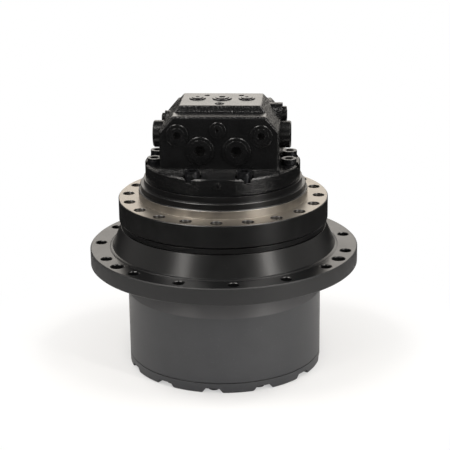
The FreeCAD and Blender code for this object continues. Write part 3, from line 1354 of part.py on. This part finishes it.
def make_side_plugs():
    y, up, radius, outer_x = RIGHT_BOSS
    right = plug(RIGHT_BOSS_PLUG_R, RIGHT_BOSS_PLUG_T, RIGHT_BOSS_PLUG_R * 0.6, 0.6, RIGHT_BOSS_PLUG_R * 0.7, 18, 8.0)
    right = placed(right, (outer_x, y, block_flange_top + up), (1, 0, 0))
    y, up, radius, outer_x = LEFT_BOSS
    left = plug(LEFT_BOSS_PLUG_R, LEFT_BOSS_PLUG_T, LEFT_BOSS_PLUG_R * 0.6, 0.6, LEFT_BOSS_PLUG_R * 0.7, 12, 6.0)
    return [right, placed(left, (-outer_x, y, block_flange_top + up), (-1, 0, 0))]


save("valve_block", make_valve_block())
save("valve_block_bolts", make_block_bolts())
save("right_spool_cap", make_cap(1))
save("left_spool_cap", make_cap(-1))
save("counterbalance_spool", make_spool())
save("spool_springs", make_spool_springs())
save("main_port_plugs", make_front_plugs("main"))
save("relief_valves", make_front_plugs("relief"))
save("block_plugs", make_front_plugs("pilot") + make_small_plugs() + make_side_plugs())
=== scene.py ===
import math

import bmesh
import bpy
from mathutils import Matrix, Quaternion, Vector


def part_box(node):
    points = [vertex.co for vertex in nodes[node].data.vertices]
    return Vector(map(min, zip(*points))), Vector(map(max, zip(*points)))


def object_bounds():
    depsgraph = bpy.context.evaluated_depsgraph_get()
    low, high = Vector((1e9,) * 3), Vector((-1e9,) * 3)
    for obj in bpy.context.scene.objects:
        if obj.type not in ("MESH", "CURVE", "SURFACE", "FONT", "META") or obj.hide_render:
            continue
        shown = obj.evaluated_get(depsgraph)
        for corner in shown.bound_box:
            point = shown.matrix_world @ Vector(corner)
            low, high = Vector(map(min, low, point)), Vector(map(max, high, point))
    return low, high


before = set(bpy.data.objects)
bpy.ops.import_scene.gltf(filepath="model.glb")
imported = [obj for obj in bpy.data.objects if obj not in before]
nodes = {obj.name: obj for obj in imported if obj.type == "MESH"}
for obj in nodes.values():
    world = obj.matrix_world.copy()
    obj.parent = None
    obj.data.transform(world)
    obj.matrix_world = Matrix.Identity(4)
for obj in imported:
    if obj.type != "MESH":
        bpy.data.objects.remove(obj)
cad_low, cad_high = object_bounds()


# ---------------------------------------------------------------- where the drive stands
# The drive stands nose down on a round pale table in a soft-lit white room. The table's matt
# top fades to white at its edge, and the gloss paint mirrors a low pale band round the room.

TABLE_R = 0.62
TABLE_FADE = (0.20, 0.52)
TABLE_WHITE = 0.45        # how much of the table's shade is washed out beside the drive
TABLE_COLOUR = (0.86, 0.86, 0.86, 1)
TABLE_CLEAR = 0.0003      # keeps the table out of the pads' own plane
TABLE_MATT = 0.6
TABLE_SIDES = 128
WALL_WHITE = (1, 1, 1, 1)
WALL_WARM = (1.0, 0.965, 0.92, 1)
ROOM_LIGHT = 0.36
ROOM_BAND = (0.02, 0.14, 0.34, 0.46)     # sine of the elevation: bright from about 5 to 23 degrees
BAND_LEVEL = 0.55
ROOM_DARK = 0.02


class Wire:
    """One value in a finish. Sums of wires add the nodes that work them out."""

    def __init__(self, tree, socket=None):
        self.tree = tree
        self.socket = socket

    def node(self, kind, settings=None, inputs=None, output=0):
        """Any node: its settings first, then the values or wires of its sockets."""
        made = self.tree.nodes.new(kind)
        for name, value in (settings or {}).items():
            if name == "stops":
                while len(made.color_ramp.elements) > 1:
                    made.color_ramp.elements.remove(made.color_ramp.elements[0])
                made.color_ramp.elements[0].position = value[0][0]
                made.color_ramp.elements[0].color = value[0][1]
                for place, colour in value[1:]:
                    made.color_ramp.elements.new(place).color = colour
            else:
                setattr(made, name, value)
        for name, value in (inputs or {}).items():
            if isinstance(value, Wire):
                self.tree.links.new(value.socket, made.inputs[name])
            else:
                made.inputs[name].default_value = value
        return Wire(self.tree, made.outputs[output] if len(made.outputs) else None)

    def sum_of(self, operation, *parts):
        return self.node("ShaderNodeMath", {"operation": operation}, dict(enumerate(parts)))

    def __add__(self, other):
        return self.sum_of("ADD", self, other)

    def __sub__(self, other):
        return self.sum_of("SUBTRACT", self, other)

    def __rsub__(self, other):
        return self.sum_of("SUBTRACT", other, self)

    def __mul__(self, other):
        return self.sum_of("MULTIPLY", self, other)

    def __truediv__(self, other):
        return self.sum_of("DIVIDE", self, other)

    def __pow__(self, other):
        return self.sum_of("POWER", self, other)

    def __gt__(self, other):
        return self.sum_of("GREATER_THAN", self, other)

    def __lt__(self, other):
        return self.sum_of("LESS_THAN", self, other)

    __radd__ = __add__
    __rmul__ = __mul__

    def part(self, name):
        """Another output of the node that this wire comes from."""
        return Wire(self.tree, self.socket.node.outputs[name])

    def ease(self, low, high, start=0.0, end=1.0):
        """Smooth step from start to end while this value goes from low to high."""
        return self.node("ShaderNodeMapRange", {"interpolation_type": "SMOOTHSTEP"},
                         {"Value": self, "From Min": low, "From Max": high, "To Min": start, "To Max": end})

    def tint(self, low_colour, high_colour):
        """Colour that goes from one to the other with this value."""
        return self.node("ShaderNodeMix", {"data_type": "RGBA"},
                         {0: self, 6: low_colour, 7: high_colour}, 2)


def mesh_object(name, work, material):
    """A finished bmesh as an object in the scene."""
    mesh = bpy.data.meshes.new(name)
    work.to_mesh(mesh)
    work.free()
    mesh.materials.append(material)
    made = bpy.data.objects.new(name, mesh)
    bpy.context.scene.collection.objects.link(made)
    return made


table_paint = bpy.data.materials.new("table_paint")
table_paint.use_nodes = True
table_paint.node_tree.nodes.clear()
start = Wire(table_paint.node_tree)
spot = start.node("ShaderNodeTexCoord", output="Object")
reach = start.node("ShaderNodeVectorMath", {"operation": "LENGTH"}, {0: spot}, "Value")
seen = start.node("ShaderNodeLightPath", output="Is Camera Ray")
fade = reach.ease(*TABLE_FADE, TABLE_WHITE, 1.0) * seen
matt = start.node("ShaderNodeBsdfDiffuse", inputs={"Color": TABLE_COLOUR, "Roughness": TABLE_MATT})
white = start.node("ShaderNodeEmission", inputs={"Color": (1, 1, 1, 1), "Strength": 1.0})
both = start.node("ShaderNodeMixShader", inputs={0: fade, 1: matt, 2: white})
start.node("ShaderNodeOutputMaterial", inputs={"Surface": both})

work = bmesh.new()
bmesh.ops.create_circle(work, cap_ends=True, radius=TABLE_R, segments=TABLE_SIDES)
table_top = mesh_object("table_top", work, table_paint)
table_top.location.z = cad_low.z - TABLE_CLEAR

room = bpy.data.worlds.new("room")
bpy.context.scene.world = room
room.use_nodes = True
room.node_tree.nodes.clear()
start = Wire(room.node_tree)
path = start.node("ShaderNodeLightPath", output="Is Camera Ray")
mirrored = path.part("Is Glossy Ray") + path.part("Is Transmission Ray")
direction = start.node("ShaderNodeTexCoord", output="Generated")
height = start.node("ShaderNodeSeparateXYZ", inputs={0: direction}).part("Z")
band = height.ease(ROOM_BAND[0], ROOM_BAND[1]) * (1 - height.ease(ROOM_BAND[2], ROOM_BAND[3]))
wall = ROOM_DARK + band * (BAND_LEVEL - ROOM_DARK)
level = path + (1 - path) * (mirrored * wall + (1 - mirrored) * ROOM_LIGHT)
start.node("ShaderNodeOutputWorld", inputs={
    "Surface": start.node("ShaderNodeBackground", inputs={"Color": path.tint(WALL_WARM, WALL_WHITE),
                                                          "Strength": level})})


LAMP_WARM = (1.0, 0.97, 0.93)
WASH_WARM = (1.0, 0.94, 0.86)


def soft_box(name, place, target, width, height, watts, colour=LAMP_WARM):
    """A flat lamp that looks from a place at a target; the camera doesn't see it."""
    lamp = bpy.data.lights.new(name, "AREA")
    lamp.shape = "RECTANGLE"
    lamp.size = width
    lamp.size_y = height
    lamp.energy = watts
    lamp.color = colour
    box = bpy.data.objects.new(name, lamp)
    box.location = place
    box.rotation_euler = (Vector(target) - Vector(place)).to_track_quat("-Z", "Y").to_euler()
    box.visible_camera = False
    bpy.context.scene.collection.objects.link(box)


MIDDLE = (0, 0, 0.22)
soft_box("left_overhead", (-0.88, -0.42, 2.12), MIDDLE, 1.2, 0.42, 26)
soft_box("right_overhead", (0.92, -0.30, 2.12), MIDDLE, 1.2, 0.42, 24)
soft_box("right_front", (1.72, -1.38, 0.75), MIDDLE, 0.2, 1.8, 19)
soft_box("left_front", (-1.35, -1.66, 1.25), MIDDLE, 0.3, 1.1, 10)
soft_box("back_wash", (0, 2.6, 1.4), MIDDLE, 3.6, 1.3, 26, WASH_WARM)

EYE = (0.1595, -2.2462, 0.963)
EYE_TURN = math.radians(4.0)
EYE_DIP = math.radians(17.98)
EYE_LEAN = math.radians(-0.72)
FILM_WIDTH = 36.0
LENS = 113.9
SIGHT_END = 50
camera = bpy.data.cameras.new("camera")
camera.sensor_width = FILM_WIDTH
camera.lens = LENS
camera.clip_end = SIGHT_END
eye = bpy.data.objects.new("camera", camera)
eye.location = EYE
level_reach = math.cos(EYE_DIP)
look = Vector((-math.sin(EYE_TURN) * level_reach, math.cos(EYE_TURN) * level_reach, -math.sin(EYE_DIP)))
eye.rotation_euler = (look.to_track_quat("-Z", "Y") @ Quaternion((0, 0, 1), EYE_LEAN)).to_euler()
bpy.context.scene.collection.objects.link(eye)
bpy.context.scene.camera = eye
bpy.context.scene.view_settings.view_transform = "Standard"


# ---------------------------------------------------------------- gear cover and ring gear
# The nose cover and the ring gear are turned from steel and sprayed a dull dark grey, with painted light
# lifting the ring gear's shoulder under the flange.
# The cover's rim has a notch at each long screw, whose head sits sunk in the underside.

PRIMER_DARK = (0.040, 0.042, 0.047, 1)
PRIMER_PALE = (0.062, 0.064, 0.070, 1)
SHOULDER_PAINTED_LIGHT = (0.125, 0.125, 0.13, 1)
PRIMER_MOTTLE = 0.03
GRIT = 0.0016
DUST_SIZE = 0.0025
COVER_LINES = 0.0012
JOINT_Z = 0.017           # the cover's joint with the ring gear
JOINT_HALF = 0.0005
SEAM_BLACK = (0.004, 0.004, 0.004, 1)
DUST_GREY = (0.16, 0.16, 0.165, 1)
PRIMER_EDGE = 0.0009      # round of the sprayed edges
SHOULDER_LOW = 0.127      # foot of the ring gear's shoulder; above it the grey is lightened as painted light for the up-facing shoulder
SHOULDER_FADE = 0.002


class Finish(Wire):
    """A new material, with the places on the piece that its pattern follows."""

    def __init__(self, name):
        self.material = bpy.data.materials.new(name)
        self.material.use_nodes = True
        super().__init__(self.material.node_tree)
        self.tree.nodes.clear()
        self.place = self.node("ShaderNodeTexCoord", output="Object")
        split = self.node("ShaderNodeSeparateXYZ", inputs={0: self.place})
        self.x = split.part("X")
        self.y = split.part("Y")
        self.z = split.part("Z")
        self.r = (self.x * self.x + self.y * self.y) ** 0.5

    def grain(self, size, detail=2.0, rough=0.5, place=None):
        """Even random mottle of a given size in metres, from 0 to 1."""
        return self.node("ShaderNodeTexNoise", {}, {"Vector": place or self.place, "Scale": 1 / size,
                                                   "Detail": detail, "Roughness": rough})

    def stretched(self, along_x, along_y, along_z):
        """The place on the piece, drawn out for a pattern that runs one way."""
        return self.node("ShaderNodeCombineXYZ", inputs={0: along_x, 1: along_y, 2: along_z})

    def lathe_lines(self, pitch):
        """Fine rings left by the lathe, round the drive's axis."""
        rings = self.stretched(self.r, self.z, self.sum_of("ARCTAN2", self.y, self.x) * 0.0005)
        return self.grain(pitch, 3.0, 0.6, rings)

    def broken_edges(self, radius):
        """The small round that paint and handling give every sharp edge."""
        return self.node("ShaderNodeBevel", {"samples": 6}, {"Radius": radius})

    def bump(self, height, depth, under=None):
        """Raised and sunk places of a given depth in metres."""
        inputs = {"Height": height, "Distance": depth, "Strength": 1.0}
        if under:
            inputs["Normal"] = under
        return self.node("ShaderNodeBump", inputs=inputs)

    def surface(self, constants, **wires):
        """Closes the material with its shader."""
        inputs = dict(constants)
        inputs.update({name.replace("_", " "): wire for name, wire in wires.items()})
        shader = self.node("ShaderNodeBsdfPrincipled", inputs=inputs)
        self.node("ShaderNodeOutputMaterial", inputs={"Surface": shader})
        return self.material


def dress(material, *names):
    """Give a CAD node its finish."""
    for name in names:
        piece = nodes[name]
        piece.data.materials.clear()
        piece.data.materials.append(material)


def grey_primer():
    paint = Finish("grey_primer")
    mottle = paint.grain(PRIMER_MOTTLE, 3.0)
    spray = paint.grain(GRIT, 2.0)
    lines = paint.lathe_lines(COVER_LINES)
    dust = paint.grain(DUST_SIZE, 1.0).ease(0.70, 0.78)
    colour = (mottle * 0.7 + spray * 0.3).tint(PRIMER_DARK, PRIMER_PALE)
    colour = (dust * 0.25).tint(colour, DUST_GREY)
    # Painted light: the shoulder above its foot is lightened, a painted highlight for an up-facing face that
    # the sprocket flange shades.
    shoulder_painted_light = paint.z.ease(SHOULDER_LOW, SHOULDER_LOW + SHOULDER_FADE) * (0.55 + mottle * 0.4)
    colour = shoulder_painted_light.tint(colour, SHOULDER_PAINTED_LIGHT)
    from_joint = paint.sum_of("ABSOLUTE", paint.z - JOINT_Z)
    seam = from_joint < JOINT_HALF
    colour = (seam * 0.85).tint(colour, SEAM_BLACK)
    edges = paint.broken_edges(PRIMER_EDGE)
    return paint.surface({"Specular IOR Level": 0.5},
                         Base_Color=colour, Roughness=0.36 + mottle * 0.10 + spray * 0.08,
                         Normal=paint.bump(spray, 0.00006, paint.bump(lines, 0.00003, edges)))


dress(grey_primer(), "ring_gear", "gear_cover")


# ---------------------------------------------------------------- socket screws and threaded plugs
# Black-oxide alloy steel screws, forged and rolled, with an oily film. They hold the cover,
# the second stage carrier and the valve block.

OXIDE = (0.020, 0.021, 0.024, 1)
OXIDE_WORN = (0.11, 0.11, 0.115, 1)


def black_oxide():
    steel = Finish("black_oxide")
    oil = steel.grain(0.004, 3.0)
    rub = steel.grain(0.0009, 2.0)
    worn = (oil * 0.6 + rub * 0.4).ease(0.52, 0.66)
    return steel.surface({"Specular IOR Level": 0.6, "Metallic": 0.75},
                         Base_Color=worn.tint(OXIDE, OXIDE_WORN), Roughness=0.24 + oil * 0.2,
                         Normal=steel.bump(rub, 0.00003))


screw_finish = black_oxide()
dress(screw_finish, "cover_bolts", "carrier_bolts", "valve_block_bolts")
dress(screw_finish, "cover_plugs")


# ---------------------------------------------------------------- gear train
# Suns, planets and carriers are case-hardened alloy steel. The teeth are ground, the faces
# turned, and all of it runs in oil.

TOOTH_STEEL = (0.40, 0.40, 0.42, 1)
TOOTH_STEEL_DARK = (0.24, 0.235, 0.235, 1)


def ground_gear_steel():
    steel = Finish("ground_gear_steel")
    scratches = steel.grain(0.0006, 2.0, 0.6, steel.stretched(steel.x, steel.y, steel.z * 0.04))
    heat = steel.grain(0.02, 2.0)
    film = steel.grain(0.006, 3.0)
    return steel.surface({"Metallic": 1.0},
                         Base_Color=(heat * 0.6 + scratches * 0.4).tint(TOOTH_STEEL_DARK, TOOTH_STEEL),
                         Roughness=0.22 + film * 0.22, Normal=steel.bump(scratches, 0.00002))


dress(ground_gear_steel(), "input_sun_gear", "output_sun_gear",
      "first_planet_gear_1", "first_planet_gear_2", "first_planet_gear_3",
      "second_planet_gear_1", "second_planet_gear_2", "second_planet_gear_3",
      "first_stage_carrier", "second_stage_carrier", "motor_shaft", "shaft_coupling")


# ---------------------------------------------------------------- sprocket hub
# One casting turned all over: flange for the sprocket, cone and seal lip. It is sprayed with
# gloss black enamel, thinner and duller on the flange's rim.

ENAMEL = (0.0030, 0.0031, 0.0034, 1)
ENAMEL_PALE = (0.0075, 0.0077, 0.0083, 1)
RIM_GREY = (0.020, 0.0205, 0.022, 1)
MOTTLE_SIZE = 0.035
PEEL_SIZE = 0.0022        # orange peel of the enamel
SPECK_SIZE = 0.0019
HUB_LINES = 0.0022
RIM_ROUGH = 0.46
CONE_ROUGH = 0.25
RIM_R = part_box("sprocket_hub")[1].x
RIM_START = 0.0025        # the duller spray begins this far inside the rim
RIM_FULL = 0.0005
SPECK_GREY = (0.12, 0.12, 0.12, 1)
HUB_EDGE = 0.0009


def turned_enamel():
    paint = Finish("turned_enamel")
    mottle = paint.grain(MOTTLE_SIZE, 3.0)
    peel = paint.grain(PEEL_SIZE, 2.0)
    lines = paint.lathe_lines(HUB_LINES)
    rim = paint.r.ease(RIM_R - RIM_START, RIM_R - RIM_FULL)
    speck = paint.grain(SPECK_SIZE, 1.0).ease(0.74, 0.80)
    colour = rim.tint(mottle.tint(ENAMEL, ENAMEL_PALE), RIM_GREY)
    colour = (speck * 0.2).tint(colour, SPECK_GREY)
    rough = CONE_ROUGH + rim * (RIM_ROUGH - CONE_ROUGH) + mottle * 0.1
    turned = paint.bump(lines, 0.00004, paint.broken_edges(HUB_EDGE))
    return paint.surface({"Specular IOR Level": 0.5},
                         Base_Color=colour, Roughness=rough, Normal=paint.bump(peel, 0.00004, turned))


dress(turned_enamel(), "sprocket_hub")


# ---------------------------------------------------------------- rolling bearings
# Ground rings and rollers of chrome steel, bright, with an oil film. The planets run on
# needles and the shaft on two small taper bearings of the same steel.

RACE_STEEL = (0.60, 0.60, 0.62, 1)
RACE_STEEL_DARK = (0.46, 0.46, 0.47, 1)


def race_steel():
    steel = Finish("race_steel")
    film = steel.grain(0.008, 3.0)
    lines = steel.lathe_lines(0.0007)
    return steel.surface({"Metallic": 1.0},
                         Base_Color=film.tint(RACE_STEEL_DARK, RACE_STEEL),
                         Roughness=0.12 + film * 0.1 + lines * 0.06, Normal=steel.bump(lines, 0.00001))


dress(race_steel(), "lower_bearing_cup", "upper_bearing_cup", "lower_bearing_cone", "upper_bearing_cone",
      "lower_bearing_rollers", "upper_bearing_rollers", "bearing_lock_nut",
      "first_stage_needles", "second_stage_needles", "first_stage_pins", "second_stage_pins",
      "shaft_bearing_cups", "shaft_bearing_cones")


# ---------------------------------------------------------------- face seal
# Two lapped iron rings ride on rubber rings, one in the hub and one on the case, and keep
# the oil in and the dirt out.

dress(race_steel(), "hub_seal_ring", "case_seal_ring")


RUBBER_BLACK = (0.011, 0.011, 0.011, 1)
RUBBER_BLOOM = (0.026, 0.026, 0.027, 1)


def seal_rubber():
    rubber = Finish("seal_rubber")
    bloom = rubber.grain(0.006, 3.0)
    skin = rubber.grain(0.0005, 2.0)
    return rubber.surface({"Specular IOR Level": 0.4},
                          Base_Color=bloom.tint(RUBBER_BLACK, RUBBER_BLOOM),
                          Roughness=0.5 + bloom * 0.2, Normal=rubber.bump(skin, 0.00003))


dress(seal_rubber(), "hub_seal_o_ring", "case_seal_o_ring", "shaft_seal")


# ---------------------------------------------------------------- motor case
# The spindle casting carries the frame flange. The flange's face and the pilot above it are
# bare turned steel, the threads in its holes too, darkened inside the holes as painted shade, and the rest
# is gloss black enamel.

FACE_Z = 0.286
PILOT_R = 0.139
PILOT_TOP = 0.300
HOLE_CIRCLE_R = 0.157
HOLE_COUNT = 20
HOLE_R = 0.00875
HOLE_DEPTH = 0.026        # tapped length below the face
HOLE_MOUTH = 0.0012
THREAD_PITCH = 0.0022
THREAD_DEPTH = 0.0008
CASE_EDGE = 0.0008
BARE = (0.52, 0.48, 0.43, 1)
BARE_DARK = (0.27, 0.25, 0.22, 1)
HOLE_PAINTED_SHADE = (0.09, 0.085, 0.08, 1)


def spindle_finish():
    case = Finish("spindle_finish")
    above = case.z > FACE_Z - 0.00004
    face = above * (case.r > PILOT_R - 0.0003) * (case.z < PILOT_TOP - 0.0008)
    bearing = case.sum_of("ARCTAN2", case.y, case.x) * (HOLE_COUNT / math.tau)
    nearest = case.sum_of("FRACT", bearing + 0.5 + HOLE_COUNT) - 0.5
    sideways = nearest * (math.tau / HOLE_COUNT * HOLE_CIRCLE_R)
    outward = case.r - HOLE_CIRCLE_R
    from_hole = (sideways * sideways + outward * outward) ** 0.5
    in_hole = (from_hole < HOLE_R + 0.0002) * (case.z > FACE_Z - HOLE_DEPTH) * (case.z < FACE_Z - HOLE_MOUTH)
    bare = case.sum_of("MAXIMUM", face, in_hole)
    thread = case.sum_of("PINGPONG", case.z, THREAD_PITCH / 2) / THREAD_PITCH
    lines = case.lathe_lines(0.0009)
    streaks = case.grain(0.012, 3.0)
    mottle = case.grain(MOTTLE_SIZE, 3.0)
    peel = case.grain(PEEL_SIZE, 2.0)
    steel = (lines * 0.55 + streaks * 0.45).tint(BARE_DARK, BARE)
    # Painted shade: the bare steel inside the tapped holes is darkened where the hole shades itself.
    steel = (in_hole * 0.8).tint(steel, HOLE_PAINTED_SHADE)
    paint = mottle.tint(ENAMEL, ENAMEL_PALE)
    rough_bare = 0.31 + streaks * 0.14 + lines * 0.08
    rough_paint = 0.27 + mottle * 0.12
    skin = lines * bare * 0.00003 + peel * (1 - bare) * 0.00004
    under = case.bump(skin, 1.0, case.broken_edges(CASE_EDGE))
    return case.surface({"Specular IOR Level": 0.5},
                        Base_Color=bare.tint(paint, steel), Metallic=bare,
                        Roughness=bare * rough_bare + (1 - bare) * rough_paint,
                        Normal=case.bump(thread * in_hole, THREAD_DEPTH, under))


dress(spindle_finish(), "motor_case")


# ---------------------------------------------------------------- piston motor
# Bronze-faced slippers on ground steel pistons, in a cast block that turns on the valve
# plate. Swash plate, retainer and guide are nitrided steel.

BRONZE = (0.56, 0.36, 0.14, 1)
BRONZE_DARK = (0.34, 0.20, 0.08, 1)


def oiled_bronze():
    bronze = Finish("oiled_bronze")
    film = bronze.grain(0.006, 3.0)
    lines = bronze.grain(0.0008, 2.0)
    return bronze.surface({"Metallic": 1.0}, Base_Color=film.tint(BRONZE_DARK, BRONZE),
                          Roughness=0.2 + film * 0.2, Normal=bronze.bump(lines, 0.00002))


NITRIDED = (0.36, 0.36, 0.37, 1)
NITRIDED_DARK = (0.20, 0.20, 0.21, 1)


def nitrided_steel():
    steel = Finish("nitrided_steel")
    film = steel.grain(0.01, 3.0)
    lap = steel.grain(0.0006, 2.0)
    return steel.surface({"Metallic": 1.0},
                         Base_Color=film.tint(NITRIDED_DARK, NITRIDED),
                         Roughness=0.2 + film * 0.15, Normal=steel.bump(lap, 0.00001))


dress(oiled_bronze(), "slippers", "valve_plate", "thrust_plate")
dress(nitrided_steel(), "pistons", "swash_plate", "slipper_retainer", "retainer_guide", "cylinder_block",
      "speed_piston", "counterbalance_spool")


# ---------------------------------------------------------------- parking brake
# Lined discs turn with the block between steel plates keyed in the case. Stamped disc springs
# press them together, and the ring piston frees them under oil pressure.

LINING = (0.22, 0.16, 0.11, 1)
LINING_CHARRED = (0.05, 0.035, 0.025, 1)
SPRING_BLUE = (0.09, 0.11, 0.16, 1)
SPRING_GREY = (0.25, 0.25, 0.26, 1)


def brake_lining():
    lining = Finish("brake_lining")
    fibre = lining.grain(0.0012, 4.0, 0.7)
    char = lining.grain(0.012, 2.0)
    return lining.surface({"Specular IOR Level": 0.3},
                          Base_Color=(fibre * 0.6 + char * 0.4).tint(LINING_CHARRED, LINING),
                          Roughness=0.75 + fibre * 0.15, Normal=lining.bump(fibre, 0.00012))


def blued_spring():
    steel = Finish("blued_spring")
    heat = steel.grain(0.02, 3.0)
    lines = steel.grain(0.0006, 2.0)
    return steel.surface({"Metallic": 1.0},
                         Base_Color=heat.tint(SPRING_BLUE, SPRING_GREY),
                         Roughness=0.25 + heat * 0.15, Normal=steel.bump(lines, 0.00002))


dress(brake_lining(), "brake_friction_discs")
dress(blued_spring(), "brake_springs", "spool_springs")
dress(nitrided_steel(), "brake_steel_plates", "brake_piston")


# ---------------------------------------------------------------- valve block
# An iron casting with the counterbalance spool across it. Its ports, ledge and top are
# machined, the rest is as cast, and the whole is dipped in gloss black.

BLOCK_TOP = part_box("valve_block")[1].z
BLOCK_FLANGE = 0.346
BLOCK_FRONT = -0.080
FOOT_RISE = 0.007         # the cast fillet at the block's foot
CAST_SIZE = 0.0034
CAST_DEPTH = 0.0010
CAST_EDGE = 0.001
CAST_GRIT = 0.0012
CAST_MOTTLE = 0.03
LEDGE_DROP = 0.010        # the ledge behind the port face, below the top
CHORD_Y = -0.1238         # flat across the front of the block's flange
FLAT_PLAY = 0.0003        # how near a point lies to a machined face to count as on it


def cast_enamel():
    paint = Finish("cast_enamel")
    sand = paint.grain(CAST_SIZE, 3.0, 0.55)
    fine = paint.grain(CAST_GRIT, 2.0)
    mottle = paint.grain(CAST_MOTTLE, 3.0)
    ledge_z = BLOCK_TOP - LEDGE_DROP
    top = paint.z > BLOCK_TOP - FLAT_PLAY
    front = (paint.y < BLOCK_FRONT + FLAT_PLAY) * (paint.z > BLOCK_FLANGE + FOOT_RISE)
    chord = (paint.y < CHORD_Y) * (paint.z < BLOCK_FLANGE)
    ledge = (paint.z > ledge_z - FLAT_PLAY) * (paint.z < ledge_z + FLAT_PLAY)
    milled = paint.node("ShaderNodeClamp", inputs={"Value": top + front + chord + ledge})
    cast = 1 - milled
    colour = mottle.tint(ENAMEL, ENAMEL_PALE)
    rough = 0.14 + milled * 0.08 + mottle * 0.08
    height = sand * cast * CAST_DEPTH + fine * (cast * 0.00008 + 0.00001)
    return paint.surface({"Specular IOR Level": 0.5}, Base_Color=colour, Roughness=rough,
                         Normal=paint.bump(height, 1.0, paint.broken_edges(CAST_EDGE)))


dress(cast_enamel(), "valve_block")


# ---------------------------------------------------------------- spool caps, port plugs and relief valves
# Turned steel, screwed into the block against its machined faces. They went in before it was
# painted, so they share its gloss black.

PLUG_EDGE = 0.0006


def plug_enamel():
    paint = Finish("plug_enamel")
    mottle = paint.grain(0.008, 3.0)
    lines = paint.grain(0.0012, 2.0)
    return paint.surface({"Specular IOR Level": 0.5}, Base_Color=mottle.tint(ENAMEL, ENAMEL_PALE),
                         Roughness=0.2 + mottle * 0.12,
                         Normal=paint.bump(lines, 0.00003, paint.broken_edges(PLUG_EDGE)))


dress(plug_enamel(), "right_spool_cap", "left_spool_cap", "main_port_plugs", "relief_valves", "block_plugs")
